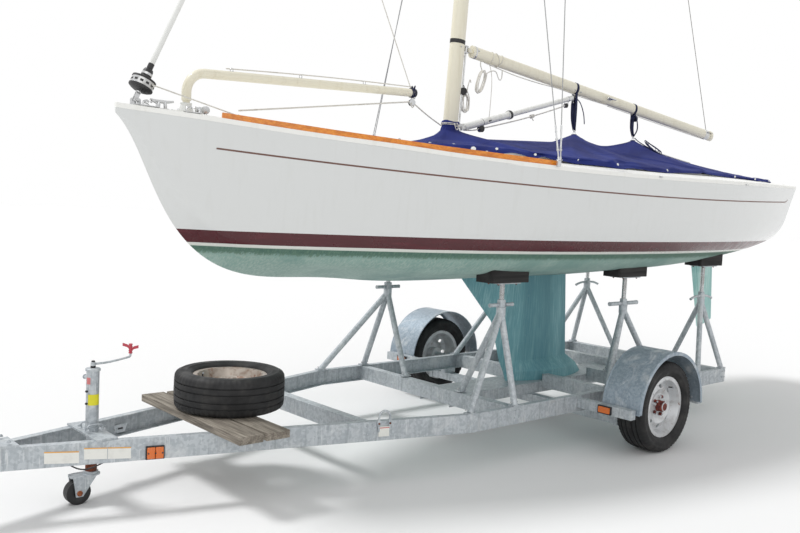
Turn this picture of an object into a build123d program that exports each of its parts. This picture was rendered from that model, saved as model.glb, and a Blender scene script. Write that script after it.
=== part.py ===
from build123d import *
from math import atan2, cos, radians, sin, tan
import os

os.makedirs("parts", exist_ok=True)

# Small keel sailboat on its two-wheel trailer, in millimetres.
# X runs towards the bow, Y to port and Z up. The ground is Z = 0.

# Hull
BOTTOM_TOP = 1322        # top of the antifouling paint, near the waterline
BOOT_TOP = 1405          # top of the boot stripe
DECK_EDGE = 20           # depth of the white band that closes the hull at the sheer
DECK_CAMBER = 0.045      # rise of the deck as a share of its width
DECK_LIP = 2             # how far the band stands proud of the topsides
DECK_SEAT = 5            # how far it reaches below the sheer
TRANSOM_X = -3574        # aft end at the deck
TRANSOM_RAKE = 16        # degrees, the top leans aft
TRANSOM_TOP = 1912

# x, half beam and height of the sheer, half breadth and height of the bilge corner,
# bilge radius, height of the keel line
STATIONS = [
    (2650, 8, 2016, 5, 1994, 2, 1985),
    (2560, 48, 2008, 26, 1912, 14, 1868),
    (2350, 152, 1990, 84, 1600, 70, 1472),
    (2060, 290, 1962, 205, 1372, 140, 1212),
    (1600, 492, 1922, 410, 1262, 230, 1128),
    (1000, 712, 1880, 655, 1225, 320, 1095),
    (200, 900, 1846, 862, 1222, 380, 1082),
    (-800, 962, 1842, 925, 1232, 400, 1086),
    (-1800, 922, 1858, 868, 1268, 380, 1122),
    (-2800, 800, 1874, 716, 1338, 330, 1216),
    (-3700, 622, 1894, 520, 1446, 260, 1372),
]

# Cockpit
COCKPIT_FRONT = -120
COCKPIT_AFT = -3020
COCKPIT_FLOOR = BOOT_TOP + 25
COCKPIT_HALF_FRONT = 560
COCKPIT_HALF_MID = 660
COCKPIT_HALF_AFT = 530
COAMING_WALL = 22
COAMING_TOP = 1936
SPLASH_TOP = 1978        # of the boards that close the coaming to a point ahead of the mast
# x and half width of the splash boards' line
SPLASH_LINE = [(-260, 584), (300, 500), (640, 84), (668, 0)]

# Toe rail
TOE_FRONT = 2170
TOE_AFT = 212
TOE_WIDTH = 22
TOE_HEIGHT = 30

# Keel, from the hull down to its flared foot
KEEL_ROOT_LE = 108
KEEL_ROOT_TE = -1069
KEEL_FOOT_LE = -400
KEEL_FOOT_TE = -1120
KEEL_HEEL_TE = -1324
KEEL_BOTTOM = 299
KEEL_FLARE_TOP = 452
KEEL_THICK = 118
FOOT_THICK = 230

# Rudder
STOCK_X = -3015
STOCK_Z = 1230
STOCK_RAKE = 14
STOCK_RADIUS = 17
RUDDER_TOP_GAP = 22
RUDDER_CHORD_TOP = 390
RUDDER_CHORD_TIP = 265
RUDDER_THICK = 34
RUDDER_DEPTH = 690
STOCK_HEAD = 520
TILLER_LENGTH = 800

# Mast and standing rigging
MAST_X = 304
MAST_RAKE = 3.1
MAST_LONG = 118
MAST_WIDE = 84
MAST_FOOT_Z = 1896
MAST_LENGTH = 7420
MAST_STEP = 78           # top of the mast's step, up the mast's axis
SPREADER_UP = 4020
SPREADER_HALF = 430
SPREADER_SWEEP = 270
STAY_UP = 5640
CHAIN_X = 245
CHAIN_Y = 915
CHAIN_TOP = 1902
WIRE_RADIUS = 3
STEM_X = 2545
FURLER_RADIUS = 64
FOIL_RADIUS = 14

# Main boom and its rod vang
GOOSE_UP = 770           # height of the gooseneck above the mast foot, along the mast
VANG_UP = 240
BOOM_DROP = 5.4          # degrees below level, towards the stern
BOOM_LENGTH = 3230
BOOM_DEEP = 86
BOOM_WIDE = 60
VANG_ON_BOOM = 1215      # from the gooseneck pin
PIN_REACH = 24           # of the boom's and the vang's pins, aft of the toggle's line
PIN_RADIUS = 5
TOGGLE_GAP = 34
CHEEK_GAP = 10           # half the space between a pair of cheeks
CHEEK_WALL = 8
EYE_DROP = 26            # of the vang's eye below the boom
EYE_HALF = 6
VANG_TUBE_RADIUS = 25
VANG_TUBE_LENGTH = 520
VANG_ROD_RADIUS = 19

# Jib boom
JIB_PIVOT_X = 2262
JIB_BOOM_Z = 2236
JIB_BOOM_END_X = 634
JIB_BOOM_RISE = 78
JIB_TUBE_RADIUS = 26
JIB_FOOT_RADIUS = 19
JIB_FOOT_HIGH = 24
JIB_BEND = 110

# Cockpit cover
COVER_WALL = 8
COVER_HEM = 1900
# x, half width, height of the snap line, height of the ridge
COVER_RIBS = [
    (690, 100, 1996, 2014),
    (300, 530, 1974, 2088),
    (-500, 706, 1952, 2120),
    (-1072, 726, 1948, 2190),
    (-1440, 716, 1947, 2124),
    (-1877, 682, 1947, 2208),
    (-2400, 622, 1948, 2140),
    (-3160, 590, 1950, 2046),
]

# Trailer frame
RAIL_TOP = 360
RAIL_DEEP = 112
RAIL_FLANGE = 44
RAIL_WALL = 6
RAIL_HALF = 775          # outer faces of the straight rails
RAIL_AFT = -2260
RAIL_BEND = 744
TONGUE_TIP = 3405        # where the outer faces of the tongue would meet
COUPLER_TIP = 3590
CROSS_WIDE = 64
CROSS_XS = (1380, 340, -1760, -2228)
HALF_CROSS_XS = (-700, -1250)
TRAY_WIDE = 300
TRAY_DEEP = 82
TRAY_WALL = 8

# Hull stands: x, y and z of the apex, x of the fore and aft feet, x and y of the inboard foot
STANDS = {
    "front": (300, 560, 960, 745, 340, 340, 280),
    "middle": (-1000, 600, 920, -640, -1250, -1250, 330),
    "aft": (-2150, 575, 930, -1860, -2228, -2228, 290),
}
FOOT_Y = RAIL_HALF - RAIL_FLANGE / 2
LEG_RADIUS = 21
SCREW_RADIUS = 15
PAD_LONG = 360
PAD_WIDE = 150
PAD_PLATE = 8
PAD_BLOCK = 55

# Wheels and axle
AXLE_X = -715
WHEEL_Y = 1088
TYRE_RADIUS = 309
TYRE_WIDE = 206
RIM_RADIUS = 207
RIM_WIDE = 160
BEAD_RADIUS = 190
RIM_VENTS = 8
RIM_VENT_RING = 136
RIM_VENT_RADIUS = 15
HUB_RADIUS = 52
FENDER_RADIUS = 380
FENDER_WALL = 4
FENDER_IN = 932
FENDER_OUT = 1226
AXLE_HALF = 900
AXLE_SIZE = 60
SWING_ARM = 150
SPINDLE_RADIUS = 19

# Jack
JACK_X = 2737
JACK_TOP = 688
JACK_OUTER = 32
JACK_WALL = 3
JACK_END = 222
CASTER_RADIUS = 62
CASTER_WIDE = 52
CASTER_TRAIL = 70

# Spare wheel on its planks
SPARE_X = 1950
SPARE_Y = 15
PLANK_THICK = 40
PLANK_XS = (2010, 2170)
PLANK_WIDE = 140
PLANK_HALF = 585

LOOP_WIRE = 6

FIT = 0.3                # running and seating clearance


def save(name, part):
    """Label a finished piece and write it as one node."""
    part.label = name
    export_step(part, f"parts/{name}.step")


def station_plane(x):
    """A plane across the boat whose sketch axes are Y and Z."""
    return Plane(origin=(x, 0, 0), x_dir=(0, 1, 0), z_dir=(1, 0, 0))


def rod_between(start, end, radius):
    """A round bar from one point to another."""
    start, end = Vector(*start), Vector(*end)
    axis = end - start
    with BuildPart() as bar:
        with BuildSketch(Plane(origin=start, z_dir=axis.normalized())):
            Circle(radius)
        extrude(amount=axis.length)
    return bar.part


def deck_top(x):
    """Height of the deck on the centre line."""
    return table_at(x, STATIONS, 2) + DECK_EDGE + 2 * table_at(x, STATIONS, 1) * DECK_CAMBER


def table_at(x, rows, column):
    """Read one column of a table of stations at any x, by straight lines."""
    rows = sorted(rows)
    for low, high in zip(rows, rows[1:]):
        if x <= high[0]:
            share = (x - low[0]) / (high[0] - low[0])
            return low[column] + share * (high[column] - low[column])
    return rows[-1][column]


# Hull, lofted through its stations and cut by the raked transom
transom = Plane(
    origin=(TRANSOM_X, 0, TRANSOM_TOP),
    x_dir=(0, 1, 0),
    z_dir=(-cos(radians(TRANSOM_RAKE)), 0, -sin(radians(TRANSOM_RAKE))),
)

with BuildPart() as hull:
    for x, half, sheer, bilge_y, bilge_z, bilge_r, keel_z in STATIONS:
        with BuildSketch(station_plane(x)):
            with BuildLine():
                FilletPolyline((0, keel_z), (bilge_y, bilge_z), (half, sheer), radius=bilge_r)
                FilletPolyline((0, keel_z), (-bilge_y, bilge_z), (-half, sheer), radius=bilge_r)
                Line((-half, sheer), (half, sheer))
            make_face()
    loft()
    split(bisect_by=transom, keep=Keep.BOTTOM)

with BuildPart() as deck_blank:
    for x, half, sheer, bilge_y, bilge_z, bilge_r, keel_z in STATIONS:
        rise = DECK_EDGE + half * 2 * DECK_CAMBER
        with BuildSketch(station_plane(x)):
            with BuildLine():
                Polyline(
                    (-half - DECK_LIP, sheer + DECK_EDGE), (-half - DECK_LIP, sheer - DECK_SEAT),
                    (half + DECK_LIP, sheer - DECK_SEAT), (half + DECK_LIP, sheer + DECK_EDGE),
                )
                ThreePointArc((half + DECK_LIP, sheer + DECK_EDGE), (0, sheer + rise),
                              (-half - DECK_LIP, sheer + DECK_EDGE))
            make_face()
    loft()
    split(bisect_by=transom, keep=Keep.BOTTOM)

# The cockpit's outline, widest a third of the way aft
cockpit_mid = COCKPIT_FRONT - (COCKPIT_FRONT - COCKPIT_AFT) / 3


def cockpit_block(grow, bottom, top):
    """The cockpit's outline, grown all round, as a block between two heights."""
    with BuildPart() as block:
        with BuildSketch(Plane.XY.offset(bottom)) as outline:
            with BuildLine():
                Polyline(
                    (COCKPIT_FRONT, -COCKPIT_HALF_FRONT),
                    (COCKPIT_FRONT, COCKPIT_HALF_FRONT),
                    (cockpit_mid, COCKPIT_HALF_MID),
                    (COCKPIT_AFT, COCKPIT_HALF_AFT),
                    (COCKPIT_AFT, -COCKPIT_HALF_AFT),
                    (cockpit_mid, -COCKPIT_HALF_MID),
                    (COCKPIT_FRONT, -COCKPIT_HALF_FRONT),
                )
            make_face()
            fillet(outline.vertices().filter_by_position(Axis.X, COCKPIT_AFT, COCKPIT_AFT), 150)
            fillet(outline.vertices().filter_by_position(Axis.X, COCKPIT_FRONT, COCKPIT_FRONT), 150)
            if grow > 0:
                offset(amount=grow)
        extrude(amount=top - bottom)
    return block.part


def band_of_hull(bottom, top):
    """The slice of the hull between two levels."""
    with BuildPart() as band:
        add(hull.part)
        with BuildSketch(Plane.XY.offset(bottom)):
            Rectangle(9000, 3000)
        extrude(amount=top - bottom, mode=Mode.INTERSECT)
    return band.part


# The rudder's axis leans aft at its lower end
stock_axis = Vector(sin(radians(STOCK_RAKE)), 0, cos(radians(STOCK_RAKE)))
stock_low = Vector(STOCK_X, 0, STOCK_Z)
stock_tip = stock_low - stock_axis * (RUDDER_DEPTH * 0.72)
stock_head = stock_low + stock_axis * STOCK_HEAD
stock_bore = rod_between(
    tuple(stock_low - stock_axis * 200), tuple(stock_head), STOCK_RADIUS
)

with BuildPart() as hull_bottom:
    add(band_of_hull(1000, BOTTOM_TOP))
    add(stock_bore, mode=Mode.SUBTRACT)
save("hull_bottom", hull_bottom.part)

with BuildPart() as boot_stripe:
    add(band_of_hull(BOTTOM_TOP, BOOT_TOP))
    add(stock_bore, mode=Mode.SUBTRACT)
save("boot_stripe", boot_stripe.part)

with BuildPart() as hull_topsides:
    add(band_of_hull(BOOT_TOP, 2100))
    add(deck_blank.part, mode=Mode.SUBTRACT)
    add(cockpit_block(0, COCKPIT_FLOOR, 2100), mode=Mode.SUBTRACT)
    add(stock_bore, mode=Mode.SUBTRACT)
save("hull_topsides", hull_topsides.part)

with BuildPart() as deck:
    add(deck_blank.part)
    add(cockpit_block(COAMING_WALL, 1700, 2200), mode=Mode.SUBTRACT)
save("deck", deck.part)

with BuildPart() as cockpit_coaming:
    add(cockpit_block(COAMING_WALL, 1830, COAMING_TOP))
    add(cockpit_block(0, 1700, 2200), mode=Mode.SUBTRACT)
    with BuildPart(mode=Mode.PRIVATE) as splash_boards:
        with BuildSketch(Plane.XY.offset(1830)):
            with BuildLine():
                Polyline(*SPLASH_LINE, *[(x, -half) for x, half in SPLASH_LINE[-2::-1]])
            trace(line_width=COAMING_WALL)
        extrude(amount=200)
        with BuildSketch(Plane.XZ):
            Polygon((SPLASH_LINE[0][0] - 60, 1800), (SPLASH_LINE[-1][0] + 60, 1800),
                    (SPLASH_LINE[-1][0] + 60, SPLASH_TOP), (SPLASH_LINE[0][0] - 60, COAMING_TOP - FIT), align=None)
        extrude(amount=800, both=True, mode=Mode.INTERSECT)
        add(deck_blank.part, mode=Mode.SUBTRACT)
    add(splash_boards.part)
    add(hull.part, mode=Mode.SUBTRACT)
save("cockpit_coaming", cockpit_coaming.part)

# Toe rails along the deck's edges, on both sides
toe_rows = [row for row in STATIONS if TOE_AFT <= row[0] <= TOE_FRONT]
toe_xs = [TOE_FRONT] + [row[0] for row in toe_rows if TOE_AFT + 60 < row[0] < TOE_FRONT - 60] + [TOE_AFT]

with BuildPart() as toe_rails:
    for x in toe_xs:
        half = table_at(x, STATIONS, 1)
        base = table_at(x, STATIONS, 2) + DECK_EDGE
        with BuildSketch(station_plane(x)):
            with BuildLine():
                Polyline(
                    (half - TOE_WIDTH, base - 6),
                    (half - 2, base - 6),
                    (half - 5, base + TOE_HEIGHT),
                    (half - TOE_WIDTH + 4, base + TOE_HEIGHT),
                    close=True,
                )
            make_face()
    loft(ruled=True)
    add(deck_blank.part, mode=Mode.SUBTRACT)
    mirror(about=Plane.XZ)
save("toe_rails", toe_rails.part)

# Fin keel with a flared foot: level, leading edge, trailing edge and thickness
KEEL_LEVELS = [
    (KEEL_BOTTOM, KEEL_FOOT_LE - 20, KEEL_HEEL_TE, FOOT_THICK),
    (KEEL_BOTTOM + 70, KEEL_FOOT_LE + 10, KEEL_HEEL_TE + 60, FOOT_THICK),
    (KEEL_FLARE_TOP, KEEL_FOOT_LE + 60, KEEL_FOOT_TE, KEEL_THICK - 18),
    (760, -228, KEEL_FOOT_TE + 25, KEEL_THICK - 8),
    (1150, KEEL_ROOT_LE + 64, KEEL_ROOT_TE + 6, KEEL_THICK),
]

with BuildPart() as keel:
    for level, lead, trail, thick in KEEL_LEVELS:
        widest = lead - (lead - trail) * 0.35
        with BuildSketch(Plane.XY.offset(level)):
            with BuildLine():
                ThreePointArc((trail, -5), (widest, -thick / 2), (lead, 0))
                ThreePointArc((lead, 0), (widest, thick / 2), (trail, 5))
                Line((trail, 5), (trail, -5))
            make_face()
    loft(ruled=True)
    add(hull.part, mode=Mode.SUBTRACT)
save("keel", keel.part)

# Rudder on its raked stock, with the tiller at its head
rudder_plane = Plane(origin=stock_low, x_dir=(cos(radians(STOCK_RAKE)), 0, -sin(radians(STOCK_RAKE))),
                     z_dir=stock_axis)

with BuildPart() as rudder:
    for drop, chord in ((RUDDER_TOP_GAP, RUDDER_CHORD_TOP), (RUDDER_DEPTH, RUDDER_CHORD_TIP)):
        lead = chord * 0.2
        trail = lead - chord
        with BuildSketch(rudder_plane.offset(-drop)):
            with BuildLine():
                ThreePointArc((trail, -3), (lead - chord * 0.3, -RUDDER_THICK / 2), (lead, 0))
                ThreePointArc((lead, 0), (lead - chord * 0.3, RUDDER_THICK / 2), (trail, 3))
                Line((trail, 3), (trail, -3))
            make_face()
    loft()
    add(rod_between(tuple(stock_tip), tuple(stock_head), STOCK_RADIUS - FIT))
save("rudder", rudder.part)

tiller_from = stock_head - stock_axis * 30
with BuildPart() as tiller:
    for reach, wide, high in ((0, 34, 38), (TILLER_LENGTH, 24, 22)):
        with BuildSketch(Plane(origin=tiller_from + Vector(reach, 0, 0), x_dir=(0, 1, 0), z_dir=(1, 0, 0))):
            Rectangle(wide, high)
    loft()
    with BuildSketch(Plane(origin=tiller_from - stock_axis * 22, z_dir=stock_axis)):
        Circle(STOCK_RADIUS + 12)
    extrude(amount=44)
    add(rod_between(tuple(stock_low), tuple(stock_head + stock_axis * 60), STOCK_RADIUS), mode=Mode.SUBTRACT)
save("tiller", tiller.part)

# Mast, raked aft, with the places that the rigging and the booms take on it
mast_dir = Vector(-sin(radians(MAST_RAKE)), 0, cos(radians(MAST_RAKE)))
mast_aft = Vector(-cos(radians(MAST_RAKE)), 0, -sin(radians(MAST_RAKE)))
mast_foot = Vector(MAST_X, 0, MAST_FOOT_Z)


def on_mast(up, aft=0):
    """A point at a distance up the mast's axis and aft of it."""
    return mast_foot + mast_dir * up + mast_aft * aft


mast_plane = Plane(origin=mast_foot, x_dir=-mast_aft, z_dir=mast_dir)

with BuildPart() as mast:
    with BuildSketch(mast_plane):
        Ellipse(MAST_LONG / 2 + 16, MAST_WIDE / 2 + 16)
    extrude(amount=MAST_STEP)
    add(deck_blank.part, mode=Mode.SUBTRACT)
    with BuildSketch(mast_plane.offset(MAST_STEP - 10)):
        Ellipse(MAST_LONG / 2, MAST_WIDE / 2)
    extrude(amount=MAST_LENGTH - MAST_STEP + 10)
    with BuildSketch(mast_plane.offset(MAST_LENGTH)):
        Rectangle(MAST_LONG + 60, MAST_WIDE * 0.6)
    extrude(amount=10)
save("mast", mast.part)

spreader_root = on_mast(SPREADER_UP)
spreader_tips = {side: spreader_root + Vector(-SPREADER_SWEEP, side * SPREADER_HALF, 30) for side in (1, -1)}

with BuildPart() as spreaders:
    for side, tip in spreader_tips.items():
        reach = (tip - spreader_root).normalized() * 14
        add(rod_between(tuple(spreader_root), tuple(tip + reach), 11))
    with BuildSketch(mast_plane.offset(SPREADER_UP - 25)):
        Ellipse(MAST_LONG / 2 + 5, MAST_WIDE / 2 + 5)
    extrude(amount=50)
    add(mast.part, mode=Mode.SUBTRACT)
save("spreaders", spreaders.part)

# Chainplates, stem fitting and stern cleat
with BuildPart() as deck_fittings:
    for side in (1, -1):
        deck_z = table_at(CHAIN_X, STATIONS, 2) + DECK_EDGE
        with BuildSketch(Plane(origin=(CHAIN_X, side * (CHAIN_Y - 3), 0), x_dir=(1, 0, 0), z_dir=(0, -1, 0))):
            with Locations((0, (deck_z - 8 + CHAIN_TOP) / 2)):
                RectangleRounded(34, CHAIN_TOP - deck_z + 8, 8)
        extrude(amount=5, both=True)
    stem_z = table_at(STEM_X, STATIONS, 2) + DECK_EDGE
    with BuildSketch(Plane(origin=(STEM_X, 0, 0), x_dir=(1, 0, 0), z_dir=(0, -1, 0))):
        with Locations((0, (stem_z - 10 + 2068) / 2)):
            RectangleRounded(56, 2068 - stem_z + 10, 10)
    extrude(amount=4, both=True)
    with BuildSketch(Plane(origin=(0, 0, TRANSOM_TOP + 44), z_dir=(0, 0, 1))):
        with Locations((TRANSOM_X + 150, 0)):
            SlotOverall(150, 20)
    extrude(amount=14)
    with BuildSketch(Plane(origin=(0, 0, TRANSOM_TOP + 10), z_dir=(0, 0, 1))):
        with Locations((TRANSOM_X + 150 - 22, 0), (TRANSOM_X + 150 + 22, 0)):
            Circle(7)
    extrude(amount=36)
    add(deck_blank.part, mode=Mode.SUBTRACT)
save("deck_fittings", deck_fittings.part)

# Shrouds: two to each chainplate, and the forestay inside its furling foil
with BuildPart() as shrouds:
    for side in (1, -1):
        foot = Vector(CHAIN_X, side * CHAIN_Y, CHAIN_TOP + 1)
        hounds = on_mast(STAY_UP) + Vector(0, side * (MAST_WIDE / 2 - 2), 0)
        lower_end = on_mast(SPREADER_UP - 40) + Vector(0, side * (MAST_WIDE / 2 - 2), 0)
        tip = spreader_tips[side]
        add(rod_between(tuple(foot + Vector(9, 0, 0)), tuple(lower_end), WIRE_RADIUS))
        add(rod_between(tuple(foot - Vector(9, 0, 0)), tuple(tip), WIRE_RADIUS))
        add(rod_between(tuple(tip), tuple(hounds), WIRE_RADIUS))
    add(mast.part, mode=Mode.SUBTRACT)
    add(spreaders.part, mode=Mode.SUBTRACT)
save("shrouds", shrouds.part)

stay_top = on_mast(STAY_UP, -MAST_LONG / 2)
stay_foot = Vector(STEM_X, 0, 2068)
stay_dir = (stay_top - stay_foot).normalized()
drum_foot = stay_foot + stay_dir * 45
drum_top = drum_foot + stay_dir * 118

with BuildPart() as furler_drum:
    add(rod_between(tuple(stay_foot + stay_dir * 5), tuple(drum_foot), 9))
    for start, reach, radius in ((0, 8, FURLER_RADIUS), (8, 46, 30), (54, 8, FURLER_RADIUS), (62, 56, 24)):
        with BuildSketch(Plane(origin=drum_foot + stay_dir * start, z_dir=stay_dir)):
            Circle(radius)
        extrude(amount=reach)
save("furler_drum", furler_drum.part)

with BuildPart() as forestay_foil:
    add(rod_between(tuple(drum_top), tuple(stay_top - stay_dir * 160), FOIL_RADIUS))
    add(rod_between(tuple(stay_top - stay_dir * 160), tuple(stay_top), 5))
    add(mast.part, mode=Mode.SUBTRACT)
save("forestay_foil", forestay_foil.part)

# Gooseneck toggle, carried on the mast's aft face and turning about the mast's line
PIVOT_AFT = MAST_LONG / 2 + 26
goose_pin = on_mast(GOOSE_UP, PIVOT_AFT)
vang_pin = on_mast(VANG_UP, PIVOT_AFT)

with BuildPart() as gooseneck_brackets:
    for up in (GOOSE_UP, VANG_UP):
        for step in (TOGGLE_GAP / 2 + FIT, -TOGGLE_GAP / 2 - 8 - FIT):
            with BuildSketch(mast_plane.offset(up + step)):
                with Locations((-(PIVOT_AFT + 12) / 2, 0)):
                    RectangleRounded(PIVOT_AFT + 14, 34, 8)
            extrude(amount=8)
    add(mast.part, mode=Mode.SUBTRACT)
    add(
        rod_between(tuple(on_mast(VANG_UP - 80, PIVOT_AFT)), tuple(on_mast(GOOSE_UP + 80, PIVOT_AFT)), 6 + FIT),
        mode=Mode.SUBTRACT,
    )
save("gooseneck_brackets", gooseneck_brackets.part)

with BuildPart() as gooseneck_toggle:
    for up in (GOOSE_UP, VANG_UP):
        with BuildSketch(mast_plane.offset(up - TOGGLE_GAP / 2)):
            with Locations((-PIVOT_AFT, 0)):
                Circle(12)
            with Locations((-PIVOT_AFT - 18, 0)):
                Rectangle(36, 2 * (CHEEK_GAP - FIT))
        extrude(amount=TOGGLE_GAP)
        pin = on_mast(up, PIVOT_AFT + PIN_REACH)
        half = Vector(0, CHEEK_GAP + CHEEK_WALL + 3, 0)
        add(rod_between(tuple(pin - half), tuple(pin + half), PIN_RADIUS))
    add(rod_between(tuple(on_mast(VANG_UP - 30, PIVOT_AFT)), tuple(on_mast(GOOSE_UP + 30, PIVOT_AFT)), 6))
save("gooseneck_toggle", gooseneck_toggle.part)


def pin_bore(pivot):
    """The bore that runs on a hinge pin."""
    half = Vector(0, CHEEK_GAP + CHEEK_WALL + 20, 0)
    return rod_between(tuple(pivot - half), tuple(pivot + half), PIN_RADIUS + FIT)


# Main boom, with its hinge pin just aft of the toggle
boom_dir = Vector(-cos(radians(BOOM_DROP)), 0, -sin(radians(BOOM_DROP)))
boom_up = Vector(-sin(radians(BOOM_DROP)), 0, cos(radians(BOOM_DROP)))
boom_pivot = goose_pin + mast_aft * PIN_REACH
boom_plane = Plane(origin=boom_pivot + boom_dir * 30, x_dir=boom_up, z_dir=boom_dir)

with BuildPart() as main_boom:
    with BuildSketch(boom_plane):
        Ellipse(BOOM_DEEP / 2, BOOM_WIDE / 2)
    extrude(amount=BOOM_LENGTH)
    with BuildSketch(boom_plane.offset(BOOM_LENGTH)):
        Ellipse(BOOM_DEEP / 2 + 3, BOOM_WIDE / 2 + 3)
    extrude(amount=40)
    for side in (1, -1):
        cheek = Vector(0, side * (CHEEK_GAP + CHEEK_WALL / 2), 0)
        with BuildSketch(Plane(origin=boom_pivot + cheek, x_dir=boom_dir, z_dir=(0, -1, 0))):
            with Locations((12, 0)):
                RectangleRounded(48, 30, 8)
        extrude(amount=CHEEK_WALL / 2, both=True)
    add(pin_bore(boom_pivot), mode=Mode.SUBTRACT)
save("main_boom", main_boom.part)

# Rod vang: a tube on the mast's lower bracket and a rod under the boom
vang_pivot = vang_pin + mast_aft * PIN_REACH
vang_eye = boom_pivot + boom_dir * VANG_ON_BOOM - boom_up * (BOOM_DEEP / 2 + EYE_DROP)
vang_dir = (vang_eye - vang_pivot).normalized()
vang_length = (vang_eye - vang_pivot).length

with BuildPart() as vang_tube:
    add(rod_between(tuple(vang_pivot + vang_dir * 23), tuple(vang_pivot + vang_dir * VANG_TUBE_LENGTH),
                    VANG_TUBE_RADIUS))
    add(rod_between(tuple(vang_pivot + vang_dir * (VANG_TUBE_LENGTH - 36)),
                    tuple(vang_pivot + vang_dir * VANG_TUBE_LENGTH), VANG_TUBE_RADIUS + 5))
    add(rod_between(tuple(vang_pivot + vang_dir * 40), tuple(vang_pivot + vang_dir * (VANG_TUBE_LENGTH + 1)),
                    VANG_ROD_RADIUS + FIT), mode=Mode.SUBTRACT)
    for side in (1, -1):
        cheek = Vector(0, side * (CHEEK_GAP + CHEEK_WALL / 2), 0)
        with BuildSketch(Plane(origin=vang_pivot + cheek, x_dir=vang_dir, z_dir=(0, -1, 0))):
            with Locations((8, 0)):
                RectangleRounded(44, 26, 8)
        extrude(amount=CHEEK_WALL / 2, both=True)
    add(pin_bore(vang_pivot), mode=Mode.SUBTRACT)
save("vang_tube", vang_tube.part)

with BuildPart() as vang_rod:
    add(rod_between(tuple(vang_pivot + vang_dir * (VANG_TUBE_LENGTH - 240)), tuple(vang_eye - vang_dir * 34),
                    VANG_ROD_RADIUS))
    add(rod_between(tuple(vang_eye - vang_dir * 40), tuple(vang_eye - vang_dir * 11), 5))
    with BuildSketch(Plane(origin=vang_eye, x_dir=vang_dir, z_dir=(0, 1, 0))):
        Circle(15)
        Circle(8, mode=Mode.SUBTRACT)
    extrude(amount=EYE_HALF - FIT, both=True)
save("vang_rod", vang_rod.part)

with BuildPart() as vang_lug:
    for side in (1, -1):
        plate = Vector(0, side * (EYE_HALF + 3), 0)
        with BuildSketch(Plane(origin=vang_eye + plate, x_dir=boom_dir, z_dir=(0, -1, 0))):
            with Locations((0, EYE_DROP / 2 + 4)):
                RectangleRounded(40, EYE_DROP + 44, 9)
        extrude(amount=3, both=True)
    half = Vector(0, EYE_HALF + 9, 0)
    add(rod_between(tuple(vang_eye - half), tuple(vang_eye + half), PIN_RADIUS))
    add(main_boom.part, mode=Mode.SUBTRACT)
save("vang_lug", vang_lug.part)

# Jib boom: a bent tube on a pedestal that lets it swing
jib_deck = deck_top(JIB_PIVOT_X)

with BuildPart() as jib_pedestal:
    with BuildSketch(Plane.XY.offset(jib_deck - 12)):
        with Locations((JIB_PIVOT_X, 0)):
            RectangleRounded(170, 110, 30)
    extrude(amount=20)
    with BuildSketch(Plane.XY.offset(jib_deck + 8)):
        with Locations((JIB_PIVOT_X, 0)):
            Circle(34)
    extrude(amount=40, taper=12)
    add(deck_blank.part, mode=Mode.SUBTRACT)
save("jib_pedestal", jib_pedestal.part)

jib_foot_z = jib_deck + 48 + FIT
with BuildPart() as jib_boom:
    with BuildLine(Plane.XZ):
        jib_path = FilletPolyline(
            (JIB_PIVOT_X, jib_foot_z + JIB_FOOT_HIGH - 5),
            (JIB_PIVOT_X, JIB_BOOM_Z),
            (JIB_BOOM_END_X, JIB_BOOM_Z + JIB_BOOM_RISE),
            radius=JIB_BEND,
        )
    with BuildSketch(Plane(origin=jib_path @ 0, z_dir=jib_path % 0)):
        Circle(JIB_TUBE_RADIUS)
    sweep(path=jib_path)
    add(rod_between((JIB_PIVOT_X, 0, jib_foot_z), (JIB_PIVOT_X, 0, jib_foot_z + JIB_FOOT_HIGH), JIB_FOOT_RADIUS))
save("jib_boom", jib_boom.part)

# Cockpit cover: a tent over the coaming, open underneath, with two peaks
with BuildPart() as cockpit_cover:
    for grow, mode in ((0, Mode.ADD), (-COVER_WALL, Mode.SUBTRACT)):
        with BuildPart(mode=Mode.PRIVATE) as tent:
            for x, half, snap, ridge in COVER_RIBS:
                end = grow if x == COVER_RIBS[0][0] else -grow if x == COVER_RIBS[-1][0] else 0
                with BuildSketch(station_plane(x + end)):
                    with BuildLine():
                        Polyline(
                            (-half - grow, COVER_HEM + min(grow, 0)),
                            (half + grow, COVER_HEM + min(grow, 0)),
                            (half + grow, snap + grow),
                            (0, ridge + grow),
                            (-half - grow, snap + grow),
                            close=True,
                        )
                    make_face()
            loft(ruled=True)
        add(tent.part, mode=mode)
    with BuildSketch(mast_plane.offset(-100)):
        Ellipse(MAST_LONG / 2 + 18, MAST_WIDE / 2 + 18)
    extrude(amount=500, mode=Mode.SUBTRACT)
    add(deck_blank.part, mode=Mode.SUBTRACT)
save("cockpit_cover", cockpit_cover.part)

# Trailer rails: channels that run straight and then close to the tongue
tongue_angle = atan2(RAIL_HALF, TONGUE_TIP - RAIL_BEND)
with BuildPart() as frame_rails:
    with BuildLine():
        rail_path = Polyline((RAIL_AFT, RAIL_HALF, RAIL_TOP), (RAIL_BEND, RAIL_HALF, RAIL_TOP),
                             (TONGUE_TIP, 0, RAIL_TOP))
    with BuildSketch(Plane(origin=(RAIL_AFT, RAIL_HALF, RAIL_TOP), x_dir=(0, 1, 0), z_dir=(1, 0, 0))):
        with Locations((-RAIL_FLANGE / 2, -RAIL_DEEP / 2)):
            Rectangle(RAIL_FLANGE, RAIL_DEEP)
        with Locations((-RAIL_FLANGE / 2 - RAIL_WALL, -RAIL_DEEP / 2)):
            Rectangle(RAIL_FLANGE, RAIL_DEEP - 2 * RAIL_WALL, mode=Mode.SUBTRACT)
    sweep(path=rail_path, transition=Transition.RIGHT)
    split(bisect_by=Plane(origin=(0, 0, 0), z_dir=(0, 1, 0)), keep=Keep.TOP)
    mirror(about=Plane.XZ)
save("frame_rails", frame_rails.part)


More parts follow.
